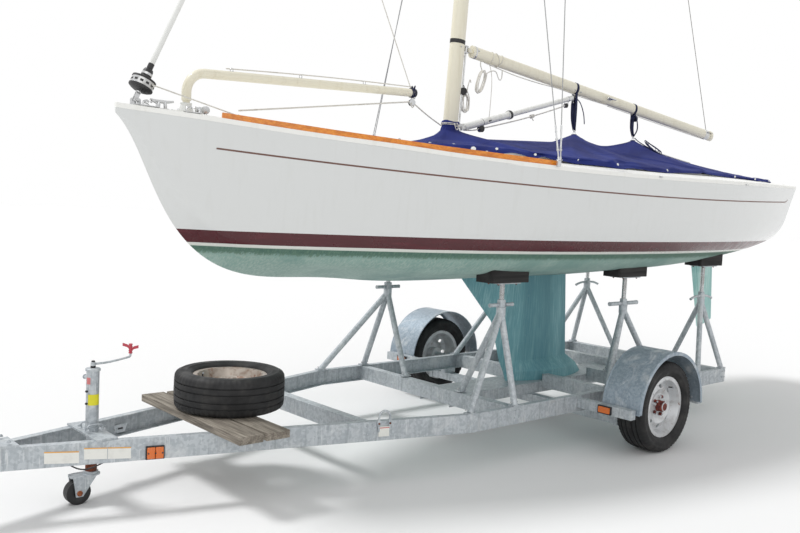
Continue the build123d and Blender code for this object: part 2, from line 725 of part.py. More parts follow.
def rail_inner(x):
    """The half width between the rails at a place along the trailer."""
    if x <= RAIL_BEND:
        return RAIL_HALF - RAIL_WALL
    return (TONGUE_TIP - x) * tan(tongue_angle) - RAIL_WALL / cos(tongue_angle)


def channel(x, near, far, wide):
    """A cross channel, open downwards, between two distances from the centre line."""
    with BuildPart() as bar:
        with BuildSketch(Plane(origin=(x, near, RAIL_TOP - RAIL_WALL), x_dir=(1, 0, 0), z_dir=(0, 1, 0))):
            with Locations((0, (RAIL_DEEP - 2 * RAIL_WALL) / 2)):
                Rectangle(wide, RAIL_DEEP - 2 * RAIL_WALL)
            with Locations((0, (RAIL_DEEP - 2 * RAIL_WALL) / 2 + RAIL_WALL)):
                Rectangle(wide - 2 * RAIL_WALL, RAIL_DEEP - 2 * RAIL_WALL, mode=Mode.SUBTRACT)
        extrude(amount=far - near)
    return bar.part


with BuildPart() as cross_members:
    for x in CROSS_XS:
        reach = rail_inner(x + CROSS_WIDE / 2) - FIT
        add(channel(x, -reach, reach, CROSS_WIDE))
    for x in HALF_CROSS_XS:
        reach = rail_inner(x) - FIT
        add(channel(x, TRAY_WIDE / 2, reach, CROSS_WIDE))
        add(channel(x, -reach, -TRAY_WIDE / 2, CROSS_WIDE))
save("cross_members", cross_members.part)

# Keel tray between the second and the third cross member
tray_top = KEEL_BOTTOM - FIT
tray_front = CROSS_XS[1] - CROSS_WIDE / 2
tray_aft = CROSS_XS[2] + CROSS_WIDE / 2
with BuildPart() as keel_tray:
    with BuildSketch(Plane(origin=(tray_aft, 0, tray_top), x_dir=(0, 1, 0), z_dir=(1, 0, 0))):
        with Locations((0, -TRAY_DEEP / 2)):
            Rectangle(TRAY_WIDE, TRAY_DEEP)
        with Locations((0, -TRAY_DEEP / 2 - TRAY_WALL)):
            Rectangle(TRAY_WIDE - 2 * TRAY_WALL, TRAY_DEEP, mode=Mode.SUBTRACT)
    extrude(amount=tray_front - tray_aft)
save("keel_tray", keel_tray.part)

# Stands: three legs to an apex sleeve, a screw through it and a padded plate on top
for place, (apex_x, apex_y, apex_z, fore_x, aft_x, in_x, in_y) in STANDS.items():
    with BuildPart() as stand:
        for foot in ((fore_x, FOOT_Y), (aft_x, FOOT_Y), (in_x, in_y)):
            add(rod_between((*foot, RAIL_TOP), (apex_x, apex_y, apex_z - 30), LEG_RADIUS))
            with BuildSketch(Plane(origin=(*foot, RAIL_TOP + FIT))):
                Rectangle(70, 44)
            extrude(amount=8)
        with BuildSketch(Plane(origin=(apex_x, apex_y, apex_z - 60))):
            Circle(30)
        extrude(amount=60)
        split(bisect_by=Plane.XY.offset(RAIL_TOP + FIT), keep=Keep.TOP)
        with BuildSketch(Plane(origin=(apex_x, apex_y, apex_z - 100))):
            Circle(SCREW_RADIUS + FIT)
        extrude(amount=200, mode=Mode.SUBTRACT)
        mirror(about=Plane.XZ)
    save(f"{place}_stands", stand.part)

with BuildPart() as stand_screws:
    for apex_x, apex_y, apex_z, fore_x, aft_x, in_x, in_y in STANDS.values():
        slope = table_at(apex_x, STATIONS, 6) + (apex_y / table_at(apex_x, STATIONS, 3)) * (
            table_at(apex_x, STATIONS, 4) - table_at(apex_x, STATIONS, 6))
        plate_z = slope - PAD_BLOCK - PAD_PLATE
        with BuildSketch(Plane(origin=(apex_x, apex_y, apex_z - 90))):
            Circle(SCREW_RADIUS)
        extrude(amount=plate_z - apex_z + 90)
        with BuildSketch(Plane(origin=(apex_x, apex_y, apex_z + FIT))):
            Circle(26)
        extrude(amount=26)
        add(rod_between((apex_x - 80, apex_y, apex_z + 13), (apex_x + 80, apex_y, apex_z + 13), 7))
        with BuildSketch(Plane(origin=(apex_x, apex_y, plate_z))):
            Rectangle(PAD_LONG * 0.6, PAD_WIDE * 0.8)
        extrude(amount=PAD_PLATE)
    mirror(about=Plane.XZ)
save("stand_screws", stand_screws.part)

with BuildPart() as hull_pads:
    for apex_x, apex_y, apex_z, fore_x, aft_x, in_x, in_y in STANDS.values():
        slope = table_at(apex_x, STATIONS, 6) + (apex_y / table_at(apex_x, STATIONS, 3)) * (
            table_at(apex_x, STATIONS, 4) - table_at(apex_x, STATIONS, 6))
        with BuildSketch(Plane(origin=(apex_x, apex_y, slope - PAD_BLOCK))):
            RectangleRounded(PAD_LONG, PAD_WIDE, 20)
        extrude(amount=PAD_BLOCK + 60)
    add(hull.part, mode=Mode.SUBTRACT)
    mirror(about=Plane.XZ)
save("hull_pads", hull_pads.part)

# Torsion axle with its trailing arms and spindles
axle_z = TYRE_RADIUS
tube_x = AXLE_X + SWING_ARM
tube_z = tray_top - TRAY_DEEP - AXLE_SIZE / 2 - FIT
with BuildPart() as axle:
    with BuildSketch(Plane(origin=(tube_x, -AXLE_HALF, tube_z), x_dir=(1, 0, 0), z_dir=(0, 1, 0))):
        Rectangle(AXLE_SIZE, AXLE_SIZE)
    extrude(amount=2 * AXLE_HALF)
    for side in (1, -1):
        with BuildSketch(Plane(origin=(0, side * (AXLE_HALF + 16), 0), x_dir=(1, 0, 0), z_dir=(0, -1, 0))):
            with BuildLine():
                Polyline((tube_x + 40, tube_z - 34), (tube_x + 40, tube_z + 34), (AXLE_X - 34, axle_z + 34),
                         (AXLE_X - 34, axle_z - 34), close=True)
            make_face()
        extrude(amount=16, both=True)
        add(rod_between((AXLE_X, side * (AXLE_HALF + 16), axle_z), (AXLE_X, side * (WHEEL_Y + 64), axle_z),
                        SPINDLE_RADIUS))
        with BuildSketch(Plane.XY.offset(tube_z + AXLE_SIZE / 2)):
            with Locations((tube_x, side * (RAIL_HALF - RAIL_FLANGE / 2))):
                Rectangle(120, RAIL_FLANGE)
        extrude(amount=RAIL_TOP - RAIL_DEEP - FIT - tube_z - AXLE_SIZE / 2)
save("axle", axle.part)


def tyre_ring(centre, axis):
    """A tyre with rounded shoulders, turned about an axis."""
    with BuildPart() as ring:
        with BuildSketch(Plane(origin=centre, x_dir=(1, 0, 0), z_dir=Vector(1, 0, 0).cross(Vector(*axis)))):
            with BuildLine():
                FilletPolyline(
                    (BEAD_RADIUS, RIM_WIDE / 2 - 10),
                    (BEAD_RADIUS + 60, TYRE_WIDE / 2 + 4),
                    (TYRE_RADIUS, TYRE_WIDE / 2 - 8),
                    (TYRE_RADIUS, -TYRE_WIDE / 2 + 8),
                    (BEAD_RADIUS + 60, -TYRE_WIDE / 2 - 4),
                    (BEAD_RADIUS, -RIM_WIDE / 2 + 10),
                    radius=26,
                )
                Line((BEAD_RADIUS, -RIM_WIDE / 2 + 10), (BEAD_RADIUS, RIM_WIDE / 2 - 10))
            make_face()
            with Locations(*[((BEAD_RADIUS + RIM_RADIUS) / 2, end * (RIM_WIDE / 2 + 11)) for end in (1, -1)]):
                Rectangle(RIM_RADIUS - BEAD_RADIUS + 2 * FIT, 40, mode=Mode.SUBTRACT)
        revolve(axis=Axis(centre, axis))
    return ring.part


def rim_disc(centre, axis, bore):
    """A steel rim with a dished centre, five nuts and a ring of round vents."""
    face = Plane(origin=centre, z_dir=axis)
    with BuildPart() as rim:
        with BuildSketch(Plane(origin=centre, x_dir=(1, 0, 0), z_dir=Vector(1, 0, 0).cross(Vector(*axis)))):
            with BuildLine():
                Polyline(
                    (RIM_RADIUS, RIM_WIDE / 2), (RIM_RADIUS, RIM_WIDE / 2 - 9 + FIT),
                    (BEAD_RADIUS - FIT, RIM_WIDE / 2 - 9 + FIT), (BEAD_RADIUS - FIT, 40), (BEAD_RADIUS - 22, 26),
                    (BEAD_RADIUS - 22, -26), (BEAD_RADIUS - FIT, -40), (BEAD_RADIUS - FIT, -RIM_WIDE / 2 + 9 - FIT),
                    (RIM_RADIUS, -RIM_WIDE / 2 + 9 - FIT), (RIM_RADIUS, -RIM_WIDE / 2),
                    (BEAD_RADIUS - 8, -RIM_WIDE / 2), (BEAD_RADIUS - 30, -24), (BEAD_RADIUS - 30, 12),
                    (120, 34), (90, 22), (bore, 22), (bore, 32), (86, 32), (118, 45), (BEAD_RADIUS - 30, 26),
                    (BEAD_RADIUS - 8, RIM_WIDE / 2), close=True,
                )
            make_face()
        revolve(axis=Axis(centre, axis))
        with BuildSketch(face):
            with PolarLocations(RIM_VENT_RING, RIM_VENTS):
                Circle(RIM_VENT_RADIUS)
        extrude(amount=60, mode=Mode.SUBTRACT)
        with BuildSketch(face.offset(32)):
            with PolarLocations(62, 5):
                RegularPolygon(10, 6)
        extrude(amount=16)
    return rim.part


for name, side in (("port", 1), ("stbd", -1)):
    centre = (AXLE_X, side * WHEEL_Y, axle_z)
    out = (0, side, 0)
    with BuildPart() as tyre:
        add(tyre_ring(centre, out))
    save(f"{name}_tyre", tyre.part)
    with BuildPart() as rim:
        add(rim_disc(centre, out, 36))
        with BuildSketch(Plane(origin=centre, z_dir=out).offset(-40)):
            Circle(HUB_RADIUS)
            Circle(SPINDLE_RADIUS + FIT, mode=Mode.SUBTRACT)
        extrude(amount=66)
        with BuildSketch(Plane(origin=centre, z_dir=out).offset(26)):
            Circle(35)
            Circle(SPINDLE_RADIUS + FIT, mode=Mode.SUBTRACT)
        extrude(amount=42)
        with BuildSketch(Plane(origin=centre, z_dir=out).offset(68)):
            Circle(35)
        extrude(amount=14, taper=20)
    save(f"{name}_rim", rim.part)

# Round fenders, each a half ring with one side wall, on its outriggers
with BuildPart() as fenders:
    with BuildSketch(Plane(origin=(AXLE_X, FENDER_IN, axle_z), x_dir=(1, 0, 0), z_dir=(0, 1, 0))):
        Circle(FENDER_RADIUS)
        Circle(FENDER_RADIUS - FENDER_WALL, mode=Mode.SUBTRACT)
        with Locations((0, FENDER_RADIUS)):
            Rectangle(2 * FENDER_RADIUS, 2 * FENDER_RADIUS, mode=Mode.SUBTRACT)
    extrude(amount=FENDER_OUT - FENDER_IN)
    with BuildSketch(Plane(origin=(AXLE_X, FENDER_OUT - FENDER_WALL, axle_z), x_dir=(1, 0, 0), z_dir=(0, 1, 0))):
        Circle(FENDER_RADIUS)
        Circle(FENDER_RADIUS - 22, mode=Mode.SUBTRACT)
        with Locations((0, FENDER_RADIUS)):
            Rectangle(2 * FENDER_RADIUS, 2 * FENDER_RADIUS, mode=Mode.SUBTRACT)
    extrude(amount=FENDER_WALL)
    mirror(about=Plane.XZ)
save("fenders", fenders.part)

outrigger_z = RAIL_TOP - RAIL_DEEP
with BuildPart() as outriggers:
    for x, high in ((AXLE_X + FENDER_RADIUS + 32, 62), (AXLE_X - FENDER_RADIUS - 26, 40)):
        with BuildSketch(Plane(origin=(x, RAIL_HALF + FIT, axle_z), x_dir=(1, 0, 0), z_dir=(0, 1, 0))):
            with Locations((0, 0)):
                Rectangle(52, high)
        extrude(amount=FENDER_OUT - RAIL_HALF - 30)
    with BuildSketch(Plane(origin=(AXLE_X, FENDER_IN, axle_z), x_dir=(1, 0, 0), z_dir=(0, 1, 0))):
        Circle(FENDER_RADIUS + 2)
    extrude(amount=400, mode=Mode.SUBTRACT)
    mirror(about=Plane.XZ)
save("outriggers", outriggers.part)

# Coupler at the tip of the tongue, with its ball socket and latch
ball_x = COUPLER_TIP - 42
with BuildPart() as coupler:
    with BuildSketch(Plane.XY.offset(RAIL_TOP + FIT)):
        with BuildLine():
            Polyline((3120, 88), (3400, 24), (3400, -24), (3120, -88), close=True)
        make_face()
    extrude(amount=12)
    with BuildSketch(Plane(origin=(3300, 0, RAIL_TOP + 30), x_dir=(0, 1, 0), z_dir=(1, 0, 0))):
        Rectangle(56, 58)
    extrude(amount=210)
    with BuildSketch(Plane.XY.offset(RAIL_TOP + 1)):
        with Locations((ball_x, 0)):
            Circle(42)
    extrude(amount=62)
    with BuildSketch(Plane.XY.offset(RAIL_TOP - 10)):
        with Locations((ball_x, 0)):
            Circle(25.8)
    extrude(amount=48, mode=Mode.SUBTRACT)
    add(rod_between((3380, 0, RAIL_TOP + 66), (3290, 0, RAIL_TOP + 104), 9))
    split(bisect_by=Plane.XY.offset(RAIL_TOP + FIT), keep=Keep.TOP)
save("coupler", coupler.part)

# Tongue jack: outer tube on a bridge plate, sliding leg, caster fork and caster wheel
with BuildPart() as jack_tube:
    with BuildSketch(Plane.XY.offset(JACK_END)):
        with Locations((JACK_X, 0)):
            Circle(JACK_OUTER)
            Circle(JACK_OUTER - JACK_WALL, mode=Mode.SUBTRACT)
    extrude(amount=JACK_TOP - JACK_END - 8)
    with BuildSketch(Plane.XY.offset(JACK_TOP - 8)):
        with Locations((JACK_X, 0)):
            Circle(JACK_OUTER + 4)
    extrude(amount=8)
    bridge_half = rail_inner(JACK_X + 60)
    with BuildSketch(Plane.XY.offset(RAIL_TOP + FIT)):
        with Locations((JACK_X, 0)):
            Rectangle(110, 2 * bridge_half + 40)
            Circle(JACK_OUTER - JACK_WALL, mode=Mode.SUBTRACT)
    extrude(amount=10)
    add(rod_between((JACK_X, JACK_OUTER - 3, JACK_TOP - 60), (JACK_X, -JACK_OUTER - 70, JACK_TOP - 60), 8))
    with BuildSketch(Plane.XY.offset(JACK_END - 10)):
        with Locations((JACK_X, 0)):
            Circle(JACK_OUTER - JACK_WALL)
    extrude(amount=JACK_TOP - JACK_END, mode=Mode.SUBTRACT)
save("jack_tube", jack_tube.part)

fork_top = 2 * CASTER_RADIUS + 24
with BuildPart() as jack_leg:
    with BuildSketch(Plane.XY.offset(fork_top + 12 + FIT)):
        with Locations((JACK_X, 0)):
            Circle(JACK_OUTER - JACK_WALL - FIT)
    extrude(amount=JACK_TOP - 90 - fork_top - 12)
save("jack_leg", jack_leg.part)

with BuildPart() as caster_fork:
    with BuildSketch(Plane.XY.offset(fork_top - 6)):
        with Locations((JACK_X + CASTER_TRAIL / 2, 0)):
            SlotOverall(CASTER_TRAIL + 90, 84)
    extrude(amount=6)
    with BuildSketch(Plane.XY.offset(fork_top)):
        with Locations((JACK_X, 0)):
            Circle(36)
    extrude(amount=12)
    for side in (1, -1):
        with BuildSketch(Plane(origin=(0, side * (CASTER_WIDE / 2 + 8), 0), x_dir=(1, 0, 0), z_dir=(0, -1, 0))):
            with BuildLine():
                Polyline(
                    (JACK_X - 20, fork_top), (JACK_X + CASTER_TRAIL + 34, fork_top),
                    (JACK_X + CASTER_TRAIL + 18, CASTER_RADIUS - 18), (JACK_X + CASTER_TRAIL - 18, CASTER_RADIUS - 18),
                    close=True,
                )
            make_face()
        extrude(amount=3, both=True)
    add(rod_between((JACK_X + CASTER_TRAIL, -CASTER_WIDE / 2 - 16, CASTER_RADIUS),
                    (JACK_X + CASTER_TRAIL, CASTER_WIDE / 2 + 16, CASTER_RADIUS), 8))
save("caster_fork", caster_fork.part)

with BuildPart() as caster_wheel:
    with BuildSketch(Plane(origin=(JACK_X + CASTER_TRAIL, -CASTER_WIDE / 2 + 2, CASTER_RADIUS), x_dir=(1, 0, 0),
                           z_dir=(0, 1, 0))):
        Circle(CASTER_RADIUS)
        Circle(8 + FIT, mode=Mode.SUBTRACT)
    extrude(amount=CASTER_WIDE - 4)
save("caster_wheel", caster_wheel.part)

# Spare wheel lying on its planks across the tongue
with BuildPart() as planks:
    with BuildSketch(Plane.XY.offset(RAIL_TOP + FIT)):
        with Locations(*[(x, 60) for x in PLANK_XS]):
            Rectangle(PLANK_WIDE, 2 * PLANK_HALF - 60)
    extrude(amount=PLANK_THICK)
save("planks", planks.part)

tyre_half = tyre_ring((0, 0, 0), (0, 0, 1)).bounding_box().size.Z / 2
spare_z = RAIL_TOP + FIT + PLANK_THICK + tyre_half + FIT
with BuildPart() as spare_tyre:
    add(tyre_ring((SPARE_X, SPARE_Y, spare_z), (0, 0, 1)))
save("spare_tyre", spare_tyre.part)
with BuildPart() as spare_rim:
    add(rim_disc((SPARE_X, SPARE_Y, spare_z), (0, 0, 1), 36))
save("spare_rim", spare_rim.part)

# Side marker lamps and tie-down loops
with BuildPart() as marker_lamps:
    for side in (1, -1):
        with BuildSketch(Plane(origin=(AXLE_X + FENDER_RADIUS + 58 + FIT, side * 1000, axle_z),
                               x_dir=(0, 1, 0), z_dir=(1, 0, 0))):
            RectangleRounded(90, 40, 8)
        extrude(amount=16)
save("marker_lamps", marker_lamps.part)

with BuildPart() as tie_down_loops:
    loop_x = 1300
    loop_y = (TONGUE_TIP - loop_x) * tan(tongue_angle) + (LOOP_WIRE + FIT) / cos(tongue_angle)
    along_rail = Vector(cos(tongue_angle), -sin(tongue_angle), 0)
    with BuildLine(Plane(origin=(loop_x, loop_y, RAIL_TOP - 60), x_dir=along_rail,
                         z_dir=along_rail.cross(Vector(0, 0, 1)))):
        loop_path = FilletPolyline((-34, 0), (-34, 120), (34, 120), (34, 0), radius=33)
    with BuildSketch(Plane(origin=loop_path @ 0, z_dir=loop_path % 0)):
        Circle(LOOP_WIRE)
    sweep(path=loop_path)
    mirror(about=Plane.XZ)
save("tie_down_loops", tie_down_loops.part)
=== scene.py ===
from math import atan2, cos, pi, radians, sin, tau

import bmesh
import bpy
import numpy as np
from mathutils import Matrix, Vector
from mathutils.bvhtree import BVHTree


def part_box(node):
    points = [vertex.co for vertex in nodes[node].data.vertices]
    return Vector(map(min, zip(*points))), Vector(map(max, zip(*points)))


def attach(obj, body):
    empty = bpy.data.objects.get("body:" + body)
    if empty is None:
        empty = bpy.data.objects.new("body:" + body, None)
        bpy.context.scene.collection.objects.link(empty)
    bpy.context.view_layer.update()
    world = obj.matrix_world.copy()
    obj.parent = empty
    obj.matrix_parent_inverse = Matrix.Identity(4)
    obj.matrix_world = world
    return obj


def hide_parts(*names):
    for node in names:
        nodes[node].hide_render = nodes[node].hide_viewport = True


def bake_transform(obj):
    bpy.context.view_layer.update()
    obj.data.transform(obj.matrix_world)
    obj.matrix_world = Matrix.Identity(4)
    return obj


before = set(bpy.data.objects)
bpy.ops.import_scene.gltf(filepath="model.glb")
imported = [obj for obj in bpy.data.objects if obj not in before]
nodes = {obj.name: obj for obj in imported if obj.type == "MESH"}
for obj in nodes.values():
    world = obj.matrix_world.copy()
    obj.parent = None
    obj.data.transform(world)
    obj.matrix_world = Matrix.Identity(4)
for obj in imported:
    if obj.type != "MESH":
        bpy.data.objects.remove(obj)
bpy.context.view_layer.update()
X, Y, Z = Vector((1, 0, 0)), Vector((0, 1, 0)), Vector((0, 0, 1))
DOWN = Vector((0, 0, -1))
ABOVE_DECK, CLEAR_OF_SIDE = 2.6, 1.2



def new_object(name, data):
    """A new object in the scene."""
    item = bpy.data.objects.new(name, data)
    bpy.context.scene.collection.objects.link(item)
    return item


# Camera, at the photograph's place
WIDE, HIGH = 800, 533    # size of the picture in pixels
FOCAL = 869.77           # in the same pixels
CAMERA_AT = Vector((4.487, 4.274, 1.608))
YAW, PITCH, ROLL = radians(-131.634), radians(-4.309), radians(-2.685)
ahead = Vector((cos(YAW) * cos(PITCH), sin(YAW) * cos(PITCH), sin(PITCH)))
level_right = ahead.cross(Z).normalized()
level_up = level_right.cross(ahead)
picture_right = level_right * cos(ROLL) - level_up * sin(ROLL)
picture_up = level_right * sin(ROLL) + level_up * cos(ROLL)
camera = new_object("camera", bpy.data.cameras.new("camera"))
camera.data.sensor_width = 36
camera.data.lens = FOCAL / WIDE * camera.data.sensor_width
turn = Matrix((picture_right, picture_up, -ahead)).transposed().to_4x4()
camera.matrix_world = Matrix.Translation(CAMERA_AT) @ turn
bpy.context.scene.camera = camera
bpy.context.scene.view_settings.view_transform = "Standard"


def pixel_ray(px, py):
    """Direction from the camera through a pixel of the picture."""
    ray = ahead + picture_right * ((px - WIDE / 2) / FOCAL) - picture_up * ((py - HIGH / 2) / FOCAL)
    return ray.normalized()


def seen_on(tree, pixels):
    """The places on some surfaces that the camera sees at some pixels."""
    return [tree.ray_cast(CAMERA_AT, pixel_ray(*pixel))[0] for pixel in pixels]


def tree_of(*names):
    """The surfaces of some CAD nodes, ready to be hit by rays."""
    points, faces = [], []
    for name in names:
        mesh, base = nodes[name].data, len(points)
        points += [v.co.copy() for v in mesh.vertices]
        faces += [tuple(base + i for i in p.vertices) for p in mesh.polygons]
    return BVHTree.FromPolygons(points, faces)


hull_tree = tree_of("hull_bottom", "boot_stripe", "hull_topsides", "deck")
deck_tree = tree_of("deck")
rail_tree = tree_of("frame_rails")
RAIL_TOP, RAIL_OUT, BEND_X, TONGUE_X = 0.372, 0.775, 0.744, 3.405


def from_side(tree, x, z, side, start=3):
    """Point and outward normal where a level ray from one side first hits some surfaces."""
    at, normal, _, _ = tree.ray_cast(Vector((x, side * start, z)), Vector((0, -side, 0)))
    return (at, normal if normal.y * side > 0 else -normal) if at is not None else (None, None)


def on_side(x, z, side):
    """Point and outward normal on the hull's side."""
    return from_side(hull_tree, x, z, side)


def on_deck(x, y):
    """Point on the deck, or None where it is open."""
    return deck_tree.ray_cast(Vector((x, y, 3)), DOWN)[0]


# Materials
def rgb(red, green, blue):
    """A screen colour from 0 to 255 as linear light."""
    return tuple((c / 255 / 12.92) if c < 11 else ((c / 255 + 0.055) / 1.055) ** 2.4
                 for c in (red, green, blue))


class Shade:
    """A material under construction, whose methods add nodes; those that make a value return it."""

    def __init__(self, name, color, roughness=0.5, metallic=0.0, **uniform):
        self.material = bpy.data.materials.new(name)
        self.material.use_nodes = True
        self.tree = self.material.node_tree
        self.tree.nodes.clear()
        self.skin = self.add("ShaderNodeBsdfPrincipled")
        self.tree.links.new(self.skin.outputs[0], self.add("ShaderNodeOutputMaterial").inputs[0])
        self.skin.inputs["Base Color"].default_value = (*color, 1)
        self.skin.inputs["Roughness"].default_value = roughness
        self.skin.inputs["Metallic"].default_value = metallic
        for key, value in uniform.items():
            self.skin.inputs[key.replace("_", " ")].default_value = value
        self.place = self.add("ShaderNodeTexCoord").outputs["Object"]
        self.normal = None

    def add(self, kind, settings=(), **inputs):
        node = self.tree.nodes.new(kind)
        for key, value in settings:
            setattr(node, key, value)
        for key, value in inputs.items():
            self.feed(node.inputs[key.replace("_", " ")], value)
        return node

    def feed(self, socket, value):
        if isinstance(value, bpy.types.NodeSocket):
            self.tree.links.new(value, socket)
        else:
            socket.default_value = value

    def moved(self, scale=(1, 1, 1), turned=(0, 0, 0)):
        return self.add("ShaderNodeMapping", Vector=self.place, Rotation=turned, Scale=scale).outputs[0]

    def noise(self, scale, detail=4.0, vector=None, warp=0.0, rough=0.55):
        return self.add("ShaderNodeTexNoise", Vector=vector or self.place, Scale=scale, Detail=detail,
                        Roughness=rough, Distortion=warp).outputs[0]

    def cells(self, scale, output="Distance", vector=None):
        return self.add("ShaderNodeTexVoronoi", Vector=vector or self.place, Scale=scale).outputs[output]

    def waves(self, scale, direction="X", vector=None, warp=0.0):
        return self.add("ShaderNodeTexWave", (("bands_direction", direction),), Vector=vector or self.place,
                        Scale=scale, Distortion=warp).outputs["Fac"]

    def axis(self, index, vector=None):
        return self.add("ShaderNodeSeparateXYZ", Vector=vector or self.place).outputs[index]

    def step(self, value, low, high, to_low=0.0, to_high=1.0):
        node = self.add("ShaderNodeMapRange", (("interpolation_type", "SMOOTHSTEP"),), Value=value)
        for key, number in (("From Min", low), ("From Max", high), ("To Min", to_low), ("To Max", to_high)):
            node.inputs[key].default_value = number
        return node.outputs[0]

    def math(self, operation, first, second=0.0):
        node = self.tree.nodes.new("ShaderNodeMath")
        node.operation = operation
        self.feed(node.inputs[0], first)
        self.feed(node.inputs[1], second)
        return node.outputs[0]

    def mix(self, share, first, second):
        node = self.tree.nodes.new("ShaderNodeMix")
        node.data_type = "RGBA"
        for index, value in ((0, share), (6, first), (7, second)):
            if isinstance(value, tuple):
                value = (*value, 1)
            self.feed(node.inputs[index], value)
        return node.outputs[2]

    def over(self, base, layer, value, low, high, share=1.0):
        """A colour laid over another where a value is high."""
        return self.mix(self.step(value, low, high, 0, share), base, layer)

    def color(self, value):
        self.feed(self.skin.inputs["Base Color"], value)

    def rough(self, value, low, high):
        self.feed(self.skin.inputs["Roughness"], self.step(value, 0.3, 0.7, low, high))

    def bump(self, value, depth, strength=1.0):
        node = self.add("ShaderNodeBump", Height=value, Distance=depth, Strength=strength)
        if self.normal:
            self.tree.links.new(self.normal, node.inputs["Normal"])
        self.normal = node.outputs[0]
        self.feed(self.skin.inputs["Normal"], self.normal)


def toned(color, share):
    """A colour made darker or lighter."""
    return tuple(min(1, c * share) for c in color)


def painted(name, color, worn, roughness, share, **uniform):
    """Paint or gelcoat with faint clouds, runs of dirt and a hand-rubbed gloss."""
    shade = Shade(name, color, **uniform)
    base = shade.over(color, toned(color, 0.93), shade.noise(1.7, 3), 0.35, 0.75, share * 0.5)
    shade.color(shade.over(base, worn, shade.noise(3, 5, shade.moved((9, 9, 0.9))), 0.48, 0.78, share))
    shade.rough(shade.noise(6, 4), *roughness)
    shade.bump(shade.noise(160, 2), 0.0004, 0.15)
    return shade


WHITE = rgb(230, 231, 228)
topside_paint = painted("topside_paint", rgb(216, 218, 217), rgb(200, 201, 196), (0.1, 0.2), 0.16,
                        Coat_Weight=0.5)
deck_paint = painted("deck_paint", rgb(240, 240, 236), rgb(216, 214, 204), (0.3, 0.46), 0.3)
cream_paint = painted("cream_paint", rgb(233, 228, 208), rgb(205, 196, 168), (0.3, 0.45), 0.4,
                      Coat_Weight=0.2)
white_paint = painted("white_paint", WHITE, rgb(198, 196, 188), (0.3, 0.5), 0.5)
black_plastic = painted("black_plastic", rgb(26, 26, 28), rgb(58, 57, 56), (0.4, 0.6), 0.5)

BOOT_FOOT, WORN_TOP = 1.334, 1.322
boot_paint = Shade("boot_paint", rgb(74, 6, 20), Coat_Weight=0.15)
height = boot_paint.math("ADD", boot_paint.axis(2),
                         boot_paint.step(boot_paint.noise(4, 2), 0.3, 0.7, -0.0007, 0.0007))
maroon = boot_paint.over(rgb(72, 5, 18), rgb(94, 16, 32),
                         boot_paint.noise(5, 5, boot_paint.moved((1, 1, 8))), 0.45, 0.75, 0.5)
boot_paint.color(boot_paint.over(rgb(214, 216, 210), maroon, height, BOOT_FOOT - 0.0005, BOOT_FOOT + 0.0005))
boot_paint.rough(boot_paint.noise(8, 4), 0.22, 0.36)
boot_paint.bump(boot_paint.noise(120, 2), 0.0004, 0.12)


def antifouled(name, fresh, chalky, deep, line_top=None):
    """Worn antifouling paint, rubbed and rolled downwards, darker in a band at the waterline."""
    shade = Shade(name, fresh)
    brush = shade.noise(4.0, 7, shade.moved((26, 10, 1.1), (0, radians(6), 0)), rough=0.65)
    wide = shade.noise(1.0, 4, shade.moved((3.4, 2.5, 0.5)))
    blots = shade.noise(2.3, 5, warp=0.6)
    base = shade.over(fresh, chalky, brush, 0.38, 0.68)
    base = shade.over(base, deep, wide, 0.42, 0.66, 0.6)
    base = shade.over(base, toned(chalky, 1.25), blots, 0.55, 0.8, 0.45)
    scratches = shade.noise(9, 3, shade.moved((60, 24, 2.2)))
    base = shade.over(base, rgb(206, 218, 208), scratches, 0.66, 0.76, 0.5)
    if line_top:
        level = shade.math("ADD", shade.axis(2), shade.step(brush, 0.3, 0.7, -0.012, 0.012))
        dark = shade.over(rgb(58, 88, 76), rgb(98, 124, 106), brush, 0.4, 0.66)
        base = shade.over(base, dark, level, line_top - 0.052, line_top - 0.03)
        base = shade.over(base, rgb(96, 136, 122), level, line_top - 0.2, line_top - 0.05, 0.28)
        base = shade.over(base, rgb(206, 212, 204), shade.axis(2), line_top - 0.0062, line_top - 0.0052)
    shade.color(base)
    shade.rough(brush, 0.55, 0.8)
    shade.bump(brush, 0.0012, 0.35)
    shade.bump(shade.noise(240, 3), 0.0006, 0.3)
    return shade


hull_antifouling = antifouled("hull_antifouling", rgb(142, 172, 164), rgb(184, 202, 194),
                              rgb(112, 148, 144), WORN_TOP)
keel_antifouling = antifouled("keel_antifouling", rgb(104, 160, 170), rgb(150, 194, 198), rgb(70, 126, 140))
rudder_antifouling = antifouled("rudder_antifouling", rgb(160, 208, 202), rgb(208, 232, 228),
                                rgb(122, 180, 178))


def timber(name, light, dark, along, roughness, coat=0.0, checks=0.0):
    """Wood whose grain runs along one axis; old planks also have open checks, coloured near black as painted
    shade inside them.
    """
    shade = Shade(name, light, Coat_Weight=coat)
    grain_scale = tuple(1.6 if i == along else 42 for i in range(3))
    wide_scale = tuple(0.7 if i == along else 9 for i in range(3))
    grain = shade.noise(3.0, 8, shade.moved(grain_scale), warp=0.4, rough=0.68)
    wide = shade.noise(2.0, 4, shade.moved(wide_scale), warp=0.8)
    base = shade.over(light, dark, grain, 0.36, 0.68)
    base = shade.over(base, toned(dark, 0.62), wide, 0.4, 0.7, 0.55)
    if checks:
        cracks = shade.step(shade.noise(5.0, 4, shade.moved(grain_scale)), 0.64, 0.7, 0, 1)
        # Painted shade: the open checks are coloured near black.
        base = shade.mix(cracks, base, toned(dark, 0.25))
        shade.bump(shade.math("SUBTRACT", 1.0, cracks), 0.002, checks)
    shade.color(base)
    shade.rough(wide, *roughness)
    shade.bump(grain, 0.0009, 0.45)
    return shade


teak = timber("teak", rgb(238, 152, 48), rgb(210, 112, 26), 0, (0.26, 0.42), coat=0.35)
plank_wood = timber("plank_wood", rgb(160, 152, 140), rgb(104, 96, 86), 1, (0.75, 0.92), checks=0.9)
pad_wood = timber("pad_wood", rgb(38, 35, 34), rgb(20, 19, 20), 0, (0.7, 0.9), checks=0.5)


